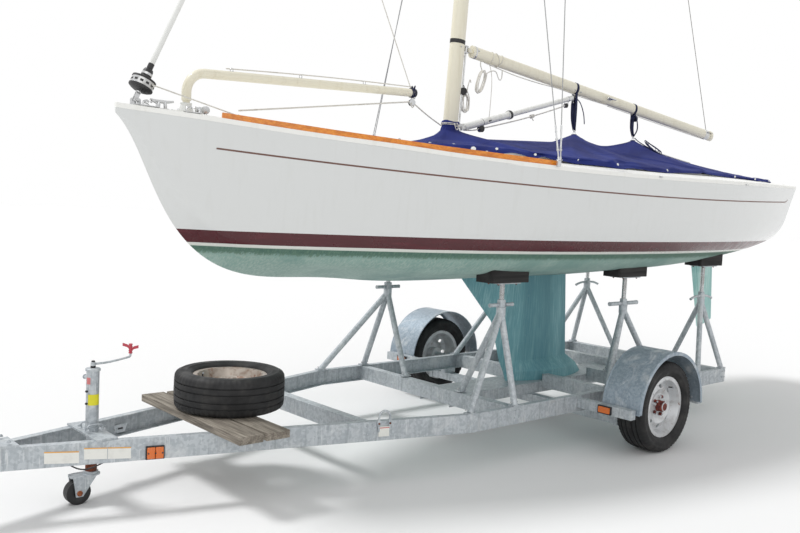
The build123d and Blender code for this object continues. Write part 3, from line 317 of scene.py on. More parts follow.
def galvanised(name, light, dark, streak=0.5, metallic=0.35):
    """Hot-dip zinc: spangles, pale oxide bloom and grey runs."""
    shade = Shade(name, light, metallic=metallic)
    spangle = shade.axis(0, shade.cells(70, "Color"))
    base = shade.over(light, dark, spangle, 0.2, 0.8, 0.5)
    bloom = shade.noise(7, 6, warp=0.8, rough=0.62)
    base = shade.over(base, rgb(214, 217, 218), bloom, 0.5, 0.72, 0.75)
    runs = shade.noise(3, 5, shade.moved((14, 14, 1.3)))
    base = shade.over(base, toned(dark, 0.72), runs, 0.5, 0.75, streak)
    stains = shade.step(shade.noise(4.2, 6, warp=0.5), 0.68, 0.8, 0, 0.35)
    drips = shade.noise(5, 3, shade.moved((34, 34, 1.6)))
    base = shade.over(base, rgb(226, 228, 228), drips, 0.6, 0.68, streak)
    shade.color(shade.mix(stains, base, rgb(132, 112, 88)))
    shade.rough(bloom, 0.42, 0.66)
    shade.bump(spangle, 0.0004, 0.1)
    shade.bump(shade.noise(90, 4), 0.0006, 0.25)
    return shade


zinc = galvanised("zinc", rgb(188, 194, 198), rgb(150, 158, 164))
fender_zinc = galvanised("fender_zinc", rgb(158, 171, 182), rgb(128, 142, 154), 0.35, 0.4)
stainless = Shade("stainless", rgb(196, 198, 200), 0.25, 1.0)
stainless.rough(stainless.noise(40, 3), 0.16, 0.36)
tarnish = stainless.noise(9, 5)
stainless.color(stainless.over(rgb(202, 203, 204), rgb(150, 148, 142), tarnish, 0.45, 0.75, 0.6))
stainless.bump(stainless.noise(300, 2), 0.0002, 0.2)

wire = Shade("wire", rgb(172, 174, 176), 0.34, 0.9)
wire.color(wire.mix(wire.waves(260, "DIAGONAL"), rgb(190, 191, 192), rgb(112, 112, 112)))
wire.bump(wire.waves(260, "DIAGONAL"), 0.0008, 0.5)

rusted = Shade("rusted", rgb(96, 50, 30), 0.8)
flakes = rusted.noise(16, 8, warp=0.6, rough=0.7)
rust_color = rusted.over(rgb(62, 32, 24), rgb(120, 58, 30), flakes, 0.35, 0.6)
rust_color = rusted.over(rust_color, rgb(178, 104, 60), rusted.noise(11, 6), 0.55, 0.72)
rusted.color(rusted.over(rust_color, rgb(186, 176, 164), rusted.noise(30, 4), 0.66, 0.78, 0.8))
rusted.rough(flakes, 0.65, 0.9)
rusted.bump(flakes, 0.002, 0.6)

hub_rust = Shade("hub_rust", rgb(96, 30, 26), 0.7)
hub_rust.color(hub_rust.over(rgb(70, 22, 20), rgb(134, 60, 44), hub_rust.noise(60, 6), 0.4, 0.65))
hub_rust.bump(hub_rust.noise(90, 5), 0.0015, 0.6)


def wheel_paint(name, light, dust, share):
    """Silver wheel paint with patches of road dust, and rust where it has chipped."""
    shade = Shade(name, light, 0.4, 0.55)
    grime = shade.noise(14, 6, warp=0.5)
    base = shade.over(light, dust, grime, 0.45, 0.7, share)
    rust = shade.step(shade.noise(26, 6, rough=0.7), 0.64 - share * 0.12, 0.74 - share * 0.1, 0, 0.8)
    shade.color(shade.mix(rust, base, rgb(120, 66, 42)))
    shade.rough(grime, 0.3, 0.62)
    shade.bump(shade.noise(120, 4), 0.0005, 0.3)
    return shade


rim_paint = wheel_paint("rim_paint", rgb(206, 208, 210), rgb(150, 146, 140), 0.4)
old_rim_paint = wheel_paint("old_rim_paint", rgb(176, 166, 156), rgb(132, 108, 92), 0.9)

tyre_rubber = Shade("tyre_rubber", rgb(30, 30, 31), 0.8)
dusty = tyre_rubber.step(tyre_rubber.noise(12, 6, warp=0.4), 0.45, 0.75, 0, 0.4)
tyre_rubber.color(tyre_rubber.mix(dusty, rgb(27, 27, 28), rgb(74, 72, 69)))
tyre_rubber.rough(tyre_rubber.noise(9, 4), 0.62, 0.86)
tyre_rubber.bump(tyre_rubber.noise(220, 4), 0.0008, 0.35)

cover_cloth = Shade("cover_cloth", rgb(30, 42, 110), 0.9)
faded = cover_cloth.noise(2.6, 5, warp=0.5)
cloth_color = cover_cloth.over(rgb(19, 31, 100), rgb(31, 47, 124), faded, 0.36, 0.7)
threads = cover_cloth.math("MULTIPLY", cover_cloth.waves(330, "X"), cover_cloth.waves(330, "Y"))
cloth_color = cover_cloth.over(cloth_color, rgb(16, 24, 80), threads, 0.2, 0.8, 0.3)
cover_cloth.color(cover_cloth.over(cloth_color, rgb(66, 78, 138), cover_cloth.noise(7, 6), 0.64, 0.8, 0.22))
cover_cloth.bump(threads, 0.0008, 0.4)
cover_cloth.bump(cover_cloth.noise(26, 4), 0.0025, 0.25)

webbing = Shade("webbing", rgb(18, 24, 52), 0.85)
webbing.color(webbing.mix(webbing.waves(420, "Z"), rgb(14, 20, 48), rgb(26, 34, 74)))
webbing.bump(webbing.waves(420, "Z"), 0.0006, 0.6)


def rope(name, light, dark):
    """Braided line: slanting strands, a little soiled."""
    shade = Shade(name, light, 0.85)
    strands = shade.waves(210, "DIAGONAL")
    base = shade.over(dark, light, strands, 0.25, 0.75)
    shade.color(shade.over(base, toned(dark, 0.7), shade.noise(18, 4), 0.5, 0.75, 0.5))
    shade.bump(strands, 0.001, 0.7)
    return shade


white_rope = rope("white_rope", rgb(240, 238, 232), rgb(206, 202, 192))
grey_rope = rope("grey_rope", rgb(168, 166, 160), rgb(118, 116, 112))
dark_rope = rope("dark_rope", rgb(38, 46, 92), rgb(20, 26, 60))


def lens(name, color):
    """A ribbed lamp lens."""
    shade = Shade(name, color, 0.22, Coat_Weight=0.6)
    ribs = shade.waves(95, "Z")
    shade.color(shade.over(toned(color, 0.72), color, ribs, 0.1, 0.9))
    shade.bump(ribs, 0.0012, 0.6)
    return shade


amber = lens("amber", rgb(240, 118, 26))
red_lens = lens("red_lens", rgb(178, 20, 24))


def printed(name, color):
    """A blank label, slightly lifted and yellowed."""
    shade = Shade(name, color, 0.45)
    shade.color(shade.over(color, toned(color, 0.8), shade.noise(24, 5), 0.45, 0.75, 0.5))
    shade.bump(shade.noise(60, 3), 0.0005, 0.4)
    return shade


label_white = printed("label_white", rgb(232, 232, 226))
label_yellow = printed("label_yellow", rgb(226, 218, 40))
label_orange = printed("label_orange", rgb(222, 84, 40))
label_pink = printed("label_pink", rgb(206, 120, 120))
grip_red = painted("grip_red", rgb(190, 70, 84), rgb(214, 140, 140), (0.5, 0.7), 0.6)
label_edge = printed("label_edge", rgb(226, 168, 84))
cove_paint = painted("cove_paint", rgb(108, 76, 66), rgb(140, 104, 88), (0.35, 0.5), 0.5)

LOOKS = {
    "hull_bottom": hull_antifouling, "boot_stripe": boot_paint, "hull_topsides": topside_paint,
    "deck": deck_paint, "cockpit_coaming": deck_paint, "toe_rails": teak, "keel": keel_antifouling,
    "rudder": rudder_antifouling, "tiller": teak, "mast": cream_paint, "spreaders": cream_paint,
    "shrouds": wire, "forestay_foil": white_paint, "furler_drum": black_plastic, "deck_fittings": stainless,
    "main_boom": cream_paint, "gooseneck_brackets": stainless, "gooseneck_toggle": stainless,
    "vang_tube": white_paint, "vang_rod": white_paint, "vang_lug": stainless, "jib_boom": cream_paint,
    "jib_pedestal": white_paint, "hull_pads": pad_wood, "stand_screws": zinc, "fenders": fender_zinc,
    "port_rim": rim_paint, "stbd_rim": rim_paint, "spare_rim": old_rim_paint, "port_tyre": tyre_rubber,
    "stbd_tyre": tyre_rubber, "spare_tyre": tyre_rubber, "jack_leg": rusted, "caster_fork": zinc,
    "caster_wheel": black_plastic, "planks": plank_wood, "marker_lamps": amber, "cockpit_cover": cover_cloth,
}
SOFT_EDGES = {
    "frame_rails": 0.003, "cross_members": 0.003, "keel_tray": 0.003, "planks": 0.004, "hull_pads": 0.006,
    "outriggers": 0.003, "axle": 0.003, "coupler": 0.003, "cockpit_coaming": 0.004, "tiller": 0.004,
}
for name, node in nodes.items():
    node.data.materials.clear()
    node.data.materials.append(LOOKS.get(name, zinc).material)
    if name in SOFT_EDGES:
        weld = node.modifiers.new("weld", "WELD")
        weld.merge_threshold = 0.00002
        bevel = node.modifiers.new("edges", "BEVEL")
        bevel.width, bevel.segments = SOFT_EDGES[name], 2
        bevel.limit_method, bevel.angle_limit = "ANGLE", radians(40)
        bevel.harden_normals = True


# Builders of detail
def arms(axis):
    """Three unit arms, the third along the axis."""
    along = Vector(axis).normalized()
    guide = Z if abs(along.z) < 0.9 else X
    across = guide.cross(along).normalized()
    return across, along.cross(across), along


def level_arm(angle):
    """A level unit arm at an angle from X."""
    return Vector((cos(angle), sin(angle), 0))


def circle(centre, u, v, radius, steps):
    """Points round a circle in the plane of two arms."""
    turns = [tau * k / steps for k in range(steps)]
    return [Vector(centre) + (Vector(u) * cos(a) + Vector(v) * sin(a)) * radius for a in turns]


def scaled(size, *profile):
    """A profile of (radius, height) pairs, given as shares of a size."""
    return [(radius * size, rise * size) for radius, rise in profile]


def smooth_path(points, steps=6):
    """A Catmull-Rom curve through some points."""
    points = [Vector(p) for p in points]
    padded = [points[0] * 2 - points[1], *points, points[-1] * 2 - points[-2]]
    path = []
    for a, b, c, d in zip(padded, padded[1:], padded[2:], padded[3:]):
        for i in range(steps):
            t = i / steps
            path.append(0.5 * (2 * b + (c - a) * t + (2 * a - 5 * b + 4 * c - d) * t * t
                               + (3 * b - a - 3 * c + d) * t ** 3))
    return path + [points[-1]]


class Piece:
    """Surfaces gathered in the frame's metres and turned into one object."""

    def __init__(self, name, body, *shades):
        self.name, self.body, self.shades = name, body, shades
        self.points, self.faces, self.kinds = [], [], []

    def put(self, points, faces, kind=0):
        base = len(self.points)
        self.points += [tuple(p) for p in points]
        self.faces += [tuple(i + base for i in face) for face in faces]
        self.kinds += [kind] * len(faces)

    def grid(self, rows, kind=0, wrap=False, flip=False):
        """A sheet of quads through rows of points."""
        width = len(rows[0])
        faces = []
        for i in range(len(rows) - 1):
            for j in range(width if wrap else width - 1):
                k = (j + 1) % width
                face = (i * width + j, i * width + k, (i + 1) * width + k, (i + 1) * width + j)
                faces.append(face[::-1] if flip else face)
        self.put([p for row in rows for p in row], faces, kind)

    def turned(self, origin, axis, profile, steps=24, kind=0):
        """A profile of (radius, height) pairs turned about an axis."""
        origin = Vector(origin)
        across, up, along = arms(axis)
        points, rows, faces = [], [], []
        for radius, rise in profile:
            if radius < 1e-7:
                rows.append([len(points)] * steps)
                points.append(origin + along * rise)
                continue
            rows.append([len(points) + i for i in range(steps)])
            points += circle(origin + along * rise, across, up, radius, steps)
        for low, high in zip(rows, rows[1:]):
            for i in range(steps):
                j = (i + 1) % steps
                face = [low[i], low[j], high[j], high[i]]
                face = [v for n, v in enumerate(face) if v not in face[:n]]
                if len(face) > 2:
                    faces.append(tuple(face))
        self.put(points, faces, kind)

    def rod(self, start, end, radius, kind=0, steps=16, edge=0.15):
        """A round bar with softened ends."""
        start, end = Vector(start), Vector(end)
        reach, cut = (end - start).length, radius * edge
        self.turned(start, end - start, [(0, 0), (radius - cut, 0), (radius, cut), (radius, reach - cut),
                                         (radius - cut, reach), (0, reach)], steps, kind)

    def tube(self, path, radius, kind=0, sides=8, closed=False):
        """A round tube along a path; the radius may be a list, one for each point."""
        path = [Vector(p) for p in path]
        count = len(path)
        radii = radius if isinstance(radius, (list, tuple)) else [radius] * count
        normal, rows = None, []
        for i, point in enumerate(path):
            before = path[i - 1] if i or closed else point
            after = path[(i + 1) % count] if i < count - 1 or closed else point
            along = (after - before).normalized()
            normal = arms(along)[0] if normal is None else (normal - along * normal.dot(along)).normalized()
            rows.append(circle(point, normal, along.cross(normal), radii[i], sides))
        if closed:
            rows.append(rows[0])
        self.grid(rows, kind, wrap=True)
        if not closed:
            base = len(self.points) - len(rows) * sides
            self.faces.append(tuple(base + k for k in reversed(range(sides))))
            self.faces.append(tuple(base + (len(rows) - 1) * sides + k for k in range(sides)))
            self.kinds += [kind, kind]

    def ring(self, centre, u, v, radius, thick, kind=0, steps=14):
        """A round ring of wire or cord, in the plane of two arms."""
        self.tube(circle(centre, u, v, radius, steps), thick, kind, closed=True)

    def cord(self, points, radius, kind=0, steps=6, sides=8):
        """A tube along a smooth path through some points."""
        self.tube(smooth_path(points, steps), radius, kind, sides)

    def block(self, centre, size, kind=0, x=(1, 0, 0), z=(0, 0, 1), edge=0.002, segments=2):
        """A box with rounded edges, set along two arms."""
        mesh = bmesh.new()
        bmesh.ops.create_cube(mesh, size=1)
        bmesh.ops.scale(mesh, vec=size, verts=mesh.verts)
        bmesh.ops.bevel(mesh, geom=mesh.edges[:], offset=edge, segments=segments, affect="EDGES", profile=0.5)
        out = Vector(z).normalized()
        along = (Vector(x) - out * Vector(x).dot(out)).normalized()
        place = Matrix((along, out.cross(along), out)).transposed()
        mesh.verts.ensure_lookup_table()
        points = [Vector(centre) + place @ v.co for v in mesh.verts]
        self.put(points, [tuple(v.index for v in f.verts) for f in mesh.faces], kind)
        mesh.free()

    def bolt(self, at, axis, size=0.012, kind=0):
        """A hexagon head on its washer, with the stud's end showing."""
        at, along = Vector(at), Vector(axis).normalized()
        for rise, steps, profile in ((0, 18, ((0, 0), (1, 0), (1, 0.16), (0.5, 0.2))),
                                     (0.16, 6, ((0.82, 0), (0.82, 0.55), (0.6724, 0.66), (0, 0.66))),
                                     (0.8, 12, ((0.4, 0), (0.4, 0.22), (0.3, 0.3), (0, 0.3)))):
            self.turned(at + along * size * rise, along, scaled(size, *profile), steps, kind)

    def label(self, corners, lift, kind=0, thick=0.0006, count=8, tree=None):
        """A thin plate between four corners, laid on what is behind it."""
        a, b, c, d = (Vector(p) for p in corners)
        out = (b - a).cross(d - a).normalized()
        rows = []
        for i in range(count + 1):
            row = []
            for j in range(count + 1):
                s, t = j / count, i / count
                point = (a * (1 - s) + b * s) * (1 - t) + (d * (1 - s) + c * s) * t
                if tree:
                    hit = tree.ray_cast(point + out * 0.05, -out)[0]
                    point = hit if hit is not None else point
                row.append(point + out * lift)
            rows.append(row)
        self.grid([[p + out * thick for p in row] for row in rows], kind)
        self.grid(rows, kind, flip=True)
        rim = rows[0] + [r[-1] for r in rows[1:]] + rows[-1][-2::-1] + [r[0] for r in rows[-2:0:-1]]
        self.grid([rim, [p + out * thick for p in rim]], kind, wrap=True)

    def done(self, replaces=(), sharp=38):
        """Make the object and let it ride on its body; one given two bodies stays fixed where it lies."""
        mesh = bpy.data.meshes.new(self.name)
        mesh.from_pydata(self.points, [], self.faces)
        for shade in self.shades:
            mesh.materials.append(shade.material)
        mesh.polygons.foreach_set("material_index", self.kinds)
        mesh.polygons.foreach_set("use_smooth", [True] * len(mesh.polygons))
        mesh.set_sharp_from_angle(angle=radians(sharp))
        mesh.update()
        piece = new_object(self.name, mesh)
        if isinstance(self.body, tuple):
            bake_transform(piece)
        else:
            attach(piece, self.body)
        if replaces:
            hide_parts(*replaces)
        return piece


BOAT = "boat_and_trailer"
PORT, STBD = SIDES = (1, -1)

# Lines of the rig, from the frame
RAKE = radians(3.1)
mast_foot = Vector((0.304, 0, 1.896))
mast_up = Vector((-sin(RAKE), 0, cos(RAKE)))
mast_aft = Vector((-cos(RAKE), 0, -sin(RAKE)))
MAST_HALF_LONG, MAST_HALF_WIDE = 0.059, 0.042
SPREADER_UP, STAY_UP, GOOSE_UP, VANG_UP = 4.02, 5.64, 0.77, 0.24
DROP = radians(5.4)
boom_aft = Vector((-cos(DROP), 0, -sin(DROP)))
boom_up = Vector((-sin(DROP), 0, cos(DROP)))
BOOM_LENGTH, BOOM_HALF_HIGH, BOOM_HALF_WIDE = 3.23, 0.043, 0.03


def on_mast(up, aft=0.0, side=0.0):
    """A point up the mast's axis, aft of it and to its side."""
    return mast_foot + mast_up * up + mast_aft * aft + Y * side


HINGE_AFT, VANG_REACH = 0.109, 1.215
boom_pivot, vang_pivot = on_mast(GOOSE_UP, HINGE_AFT), on_mast(VANG_UP, HINGE_AFT)
vang_eye = boom_pivot + boom_aft * VANG_REACH - boom_up * (BOOM_HALF_HIGH + 0.026)
vang_aft = (vang_eye - vang_pivot).normalized()
stay_foot = Vector((2.545, 0, 2.068))
stay_top = on_mast(STAY_UP, -MAST_HALF_LONG)
stay_up = (stay_top - stay_foot).normalized()


def on_boom(aft, up=0.0, side=0.0):
    """A point along the boom's axis, above it and to its side."""
    return boom_pivot + boom_aft * aft + boom_up * up + Y * side


def round_mast(up, angle, grow):
    """A point round the mast's oval, the angle from dead ahead towards port."""
    return (on_mast(up) - mast_aft * (MAST_HALF_LONG + grow) * cos(angle)
            + Y * ((MAST_HALF_WIDE + grow) * sin(angle)))


def mast_band(piece, low, high, proud, kind=0, steps=48):
    """A sleeve round the mast between two heights."""
    piece.grid([[round_mast(up, tau * k / steps, grow) for k in range(steps)]
                for up, grow in ((low, 0), (low, proud), (high, proud), (high, 0))], kind, wrap=True)


def round_boom(aft, grow, steps=36, slant=0.0):
    """A ring of points round the boom's oval."""
    turns = [tau * k / steps for k in range(steps)]
    return [on_boom(aft + slant * sin(a), (BOOM_HALF_HIGH + grow) * sin(a), (BOOM_HALF_WIDE + grow) * cos(a))
            for a in turns]


def cleat(piece, at, along, out, size=0.11, kind=0):
    """A horned cleat on two feet."""
    at, along, out = Vector(at), Vector(along).normalized(), Vector(out).normalized()
    for end in (1, -1):
        piece.rod(at + along * size * 0.16 * end, at + along * size * 0.13 * end + out * size * 0.3,
                  size * 0.07, kind, 12)
    shares = np.linspace(-0.5, 0.5, 13)
    path = [at + along * size * t + out * size * (0.3 + 0.22 * abs(t) ** 2.2) for t in shares]
    piece.tube(path, [size * (0.075 - 0.06 * abs(t)) for t in shares], kind, 10)
    piece.block(at + out * size * 0.02, (size * 0.5, size * 0.2, size * 0.05), kind, along, out, 0.0015)


def sagging(start, end, count, sag=0.0):
    """Points along a line between two places, low in its middle."""
    return [start.lerp(end, t / count) - Z * (sag * sin(pi * t / count)) for t in range(count + 1)]


def block_pulley(piece, at, out, across, size=0.03, cheek=0, wheel=1):
    """A small pulley block between two cheeks."""
    at, across = Vector(at), Vector(across).normalized()
    for end in (1, -1):
        piece.turned(at + across * size * 0.22 * end, across * end,
                     scaled(size, (0, 0), (0.62, 0), (0.6, 0.1), (0.2, 0.16), (0, 0.16)), 20, cheek)
    piece.turned(at - across * size * 0.2, across,
                 scaled(size, (0, 0), (0.5, 0), (0.38, 0.2), (0.5, 0.4), (0, 0.4)), 20, wheel)
    out = Vector(out).normalized()
    hoop = ((0.1, 0.3), (0.7, 0.3), (0.95, 0.12), (0.95, -0.12), (0.7, -0.3), (0.1, -0.3))
    piece.tube([at + out * size * t + across * size * w for t, w in hoop], size * 0.07, cheek)


# Cove stripe, painted along both sides and curled up at its aft end
COVE = np.array([(-3.348, 1.760), (-1.538, 1.722), (-0.208, 1.727), (0.646, 1.747), (1.601, 1.789),
                 (2.177, 1.837)])
cove_curve = np.polyfit(COVE[:, 0], COVE[:, 1], 3)
cove = Piece("cove_stripes", BOAT, cove_paint)
for side in SIDES:
    rows = [[], [], [], []]
    for x in np.linspace(-3.37, 2.19, 140):
        level = float(np.polyval(cove_curve, x)) + 0.02 * max(0, (-3.3 - x) / 0.07) ** 2
        for row, (rise, out) in zip(rows, ((-0.0045, -0.001), (-0.0045, 0.0009), (0.0045, 0.0009),
                                           (0.0045, -0.001))):
            at, normal = on_side(x, level + rise, side)
            row.append(at + normal * out)
    cove.grid(rows, flip=side < 0)
cove.done()

# Blank sticker on the port bow
sticker = Piece("bow_sticker", BOAT, label_orange, label_edge)
STICKER_PIXELS = ((325.2, 146.0), (347.3, 147.0), (346.5, 162.9), (324.5, 162.0))
sticker.label(seen_on(hull_tree, STICKER_PIXELS), 0.0004, tree=hull_tree)
sticker.done()

# Furling drum: black spool with a bright slotted cage
furler = Piece("furler_body", BOAT, black_plastic, stainless)
base = stay_foot + stay_up * 0.045
furler.turned(base, stay_up, [(0, -0.004), (0.03, -0.004), (0.05, 0.004), (0.063, 0.012), (0.064, 0.02),
                              (0.057, 0.024), (0.03, 0.026)], 40)
furler.turned(base, stay_up, [(0.0572, 0.022), (0.0605, 0.022), (0.0605, 0.056), (0.0572, 0.056)], 40, 1)
across, up, _ = arms(stay_up)
for out in circle((0, 0, 0), across, up, 1, 12):
    furler.block(base + out * 0.0606 + stay_up * 0.039, (0.017, 0.0012, 0.012), 0, stay_up.cross(out),
                 stay_up, 0.0004, 1)
furler.turned(base, stay_up, [(0.03, 0.052), (0.057, 0.054), (0.064, 0.058), (0.063, 0.066), (0.045, 0.072),
                              (0.028, 0.08), (0.026, 0.112), (0.022, 0.122), (0.0145, 0.126)], 40)
furler.turned(base, stay_up, [(0.0262, 0.088), (0.0285, 0.088), (0.0285, 0.1), (0.0262, 0.1)], 32, 1)
furler.rod(stay_foot + stay_up * 0.008, base, 0.009, 1)
for side in SIDES:
    furler.block(stay_foot + stay_up * 0.006 + Y * side * 0.009, (0.022, 0.004, 0.05), 1, X, stay_up, 0.0015)
furler.rod(stay_foot + Vector((0, -0.018, -0.008)), stay_foot + Vector((0, 0.018, -0.008)), 0.005, 1, 12)
furler.turned(base - stay_up * 0.012, stay_up, [(0, 0), (0.016, 0), (0.016, 0.008), (0, 0.008)], 24, 1)
furler.done(["furler_drum"])

foil_parts = Piece("foil_fittings", BOAT, black_plastic, stainless)
for up in (0.17, 1.9, 3.9, 5.4):
    foil_parts.turned(stay_foot + stay_up * up, stay_up, [(0.0138, 0), (0.0158, 0.001), (0.0158, 0.03),
                                                          (0.0138, 0.031)], 24)
foil_parts.done()

# Bow: pedestal bolts, foot blocks, cleat and fairleads
bow = Piece("bow_fittings", BOAT, stainless, white_paint, black_plastic)
pivot = X * 2.262
pivot.z = on_deck(pivot.x, 0).z
for x, y in ((-0.062, 0.036), (-0.062, -0.036), (0.062, 0.036), (0.062, -0.036)):
    bow.bolt(pivot + Vector((x, y, 0.008)), Z, 0.008)
bow.turned(pivot + Z * 0.008, Z, [(0.04, 0), (0.038, 0.01), (0.029, 0.036), (0.031, 0.04), (0.031, 0.046),
                                  (0.02, 0.047)], 32, 1)
for y in (0.035, -0.035):
    at = on_deck(2.165, y)
    block_pulley(bow, at + Z * 0.03, DOWN, Y, 0.034)
    bow.turned(at, Z, [(0, 0), (0.016, 0), (0.014, 0.005), (0, 0.006)], 20)
cleat(bow, on_deck(2.4, 0), X, Z, 0.13)
for side in SIDES:
    for x in (2.49, 2.30):
        at = on_deck(x, side * (0.05 if x > 2.4 else 0.15))
        for end in (0.028, -0.028):
            bow.cord([at + X * end * share + Z * rise for share, rise in
                      ((1.3, 0.004), (1.3, 0.022), (0.5, 0.03), (0.2, 0.022))], 0.005, steps=4)
        bow.block(at + Z * 0.003, (0.1, 0.022, 0.006), 0, X, Z, 0.002)
bow.block(on_deck(2.52, 0) + Z * 0.004, (0.1, 0.04, 0.008), 0, X, Z, 0.003)
bow.ring(stay_foot - Z * 0.03, Y * 0.7, Z, 0.02, 0.004, 0, 16)
bow.done()

lines = Piece("furling_line", BOAT, white_rope)
lead = on_deck(2.06, 0.2) + Z * 0.02
lines.tube([base + Vector((-0.02, 0.045, 0.036)), lead], 0.0035)
lines.tube([lead, on_deck(1.2, 0.52) + Z * 0.012, on_deck(0.62, 0.66) + Z * 0.012,
            on_deck(0.42, 0.66) + Z * 0.014], 0.0035)
lines.done()
leads = Piece("line_leads", BOAT, stainless, black_plastic)
for x, y in ((2.06, 0.2), (1.2, 0.52), (0.62, 0.66)):
    at = on_deck(x, y)
    leads.turned(at, Z, [(0, 0), (0.014, 0), (0.012, 0.005), (0.004, 0.007), (0, 0.007)], 18)
    leads.ring(at + Z * 0.015, Y, Z, 0.011, 0.003)
EYE_PIXELS = ((660.6, 177), (746.4, 184.8))
for at in seen_on(hull_tree, EYE_PIXELS):
    for side in SIDES:
        spot, out = on_side(at.x, at.z, side)
        leads.block(spot, (0.036, 0.014, 0.004), 0, X, out, 0.0015)
        leads.ring(spot + out * 0.009, X, out * (0.009 / 0.011), 0.011, 0.0026, 0, 12)
leads.done()

# Mast fittings: black band, tangs' bolts, sail track and masthead sheaves
mast_parts = Piece("mast_fittings", BOAT, black_plastic, stainless, cream_paint)
mast_band(mast_parts, 0.792, 0.819, 0.0016)
for up in (SPREADER_UP - 0.06, STAY_UP - 0.03):
    mast_band(mast_parts, up, up + 0.05, 0.003, 1)
for side in SIDES:
    for up, size in ((STAY_UP, 0.008), (SPREADER_UP, 0.008), (GOOSE_UP, 0.006), (VANG_UP, 0.006)):
        mast_parts.bolt(on_mast(up, -0.004, side * (MAST_HALF_WIDE + 0.0025)), Y * side, size, 1)
TRACK_LOW, TRACK_HIGH, SHEAVE_UP = 0.92, 7.3, 7.4
mast_parts.block(on_mast((TRACK_LOW + TRACK_HIGH) / 2, MAST_HALF_LONG),
                 (TRACK_HIGH - TRACK_LOW, 0.016, 0.008), 1, mast_up, mast_aft, 0.0015)
for end in (1, -1):
    mast_parts.turned(on_mast(SHEAVE_UP, 0.07 * end), Y,
                      [(0, -0.008), (0.022, -0.008), (0.017, 0), (0.022, 0.008), (0, 0.008)], 24)
mast_parts.block(on_mast(SHEAVE_UP), (0.2, 0.004, 0.045), 1, -mast_aft, mast_up, 0.0015)
mast_parts.done()

# Shroud ends: turnbuckles, forks and pins at the chainplates, caps at the spreaders
ends = Piece("turnbuckles", BOAT, stainless, white_paint)
spreader_root = on_mast(SPREADER_UP)
for side in SIDES:
    foot, tip = Vector((0.245, side * 0.915, 1.905)), spreader_root + Vector((-0.27, side * 0.43, 0.03))
    for shift, top in ((0.009, on_mast(SPREADER_UP - 0.04, 0, side * 0.04)),
                       (-0.009, tip)):
        low = foot + X * shift
        way = (top - low).normalized()
        ends.turned(low, way, [(0, -0.008), (0.006, -0.008), (0.007, 0.012), (0.0045, 0.018),
                               (0.0045, 0.05), (0.0085, 0.054), (0.0085, 0.062), (0.006, 0.066),
                               (0.006, 0.118), (0.0085, 0.122), (0.0085, 0.13), (0.0045, 0.134),
                               (0.0045, 0.165), (0.006, 0.168), (0.0055, 0.21), (0.0036, 0.214),
                               (0, 0.214)], 18)
        ends.rod(low + Vector((0, -0.014, -0.004)), low + Vector((0, 0.014, -0.004)), 0.0035, 0, 10)
    cap = [(0, -0.03), (0.013, -0.028), (0.0145, -0.012), (0.0145, 0.006), (0.01, 0.012), (0, 0.014)]
    ends.turned(tip + Y * side * 0.008, (-0.53, side * 0.84, 0.06), cap, 20, 1)
ends.done()

# Standing parts at the mast's foot and head
# height up the mast, distance out from it, depth of the folds
COLLAR_RINGS = ((0.182, 0.026, 0.0), (0.194, 0.016, 0.001), (0.206, 0.0115, 0.002), (0.218, 0.009, 0.0022),
                (0.229, 0.0058, 0.0012), (0.238, 0.0052, 0.0008), (0.246, 0.0078, 0.0022),
                (0.256, 0.0098, 0.003), (0.264, 0.0072, 0.0024), (0.2665, 0.003, 0.001),
                (0.262, 0.0008, 0.0))
collar = Piece("mast_collar", BOAT, cover_cloth)
collar.grid([[round_mast(up + 0.0032 * sin(3 * a + 0.6) * (up > 0.24), a,
                         grow + deep * sin(12 * a + 2.2 * sin(2 * a)))
              for a in (tau * k / 120 for k in range(120))] for up, grow, deep in COLLAR_RINGS], wrap=True)
collar.done()

LIFT_RING = (7.41, 0.085)
head = Piece("masthead_crane", BOAT, stainless, black_plastic)
head.block(on_mast(7.425, 0.045), (0.2, 0.03, 0.006), 0, mast_aft, mast_up, 0.002)
head.bolt(on_mast(7.428, 0.0), mast_up, 0.01)
head.ring(on_mast(*LIFT_RING), mast_aft, mast_up, 0.011, 0.0028)
head.done()


# Boom: end ring, plates, sheet block, ties and straps
def boom_ring(piece, aft, reach, proud, kind=0, steps=40):
    """A band round the boom's oval."""
    piece.grid([round_boom(along, grow, steps) for along, grow in
                ((aft, 0), (aft, proud), (aft + reach, proud), (aft + reach, 0))], kind, wrap=True, flip=True)


def strap(piece, path, across, wide, thick=0.0014, kind=0, closed=False):
    """Flat webbing that follows a path, with its width along one arm."""
    path = [Vector(p) for p in path]
    across = Vector(across).normalized()
    count, rows = len(path), []
    for i, point in enumerate(path):
        before = path[i - 1] if i or closed else point
        after = path[(i + 1) % count] if i < count - 1 or closed else point
        out = across.cross((after - before).normalized()).normalized() * thick / 2
        rows.append([point + across * wide / 2 + out, point - across * wide / 2 + out,
                     point - across * wide / 2 - out, point + across * wide / 2 - out])
    if closed:
        rows.append(rows[0])
    piece.grid(rows, kind, wrap=True)


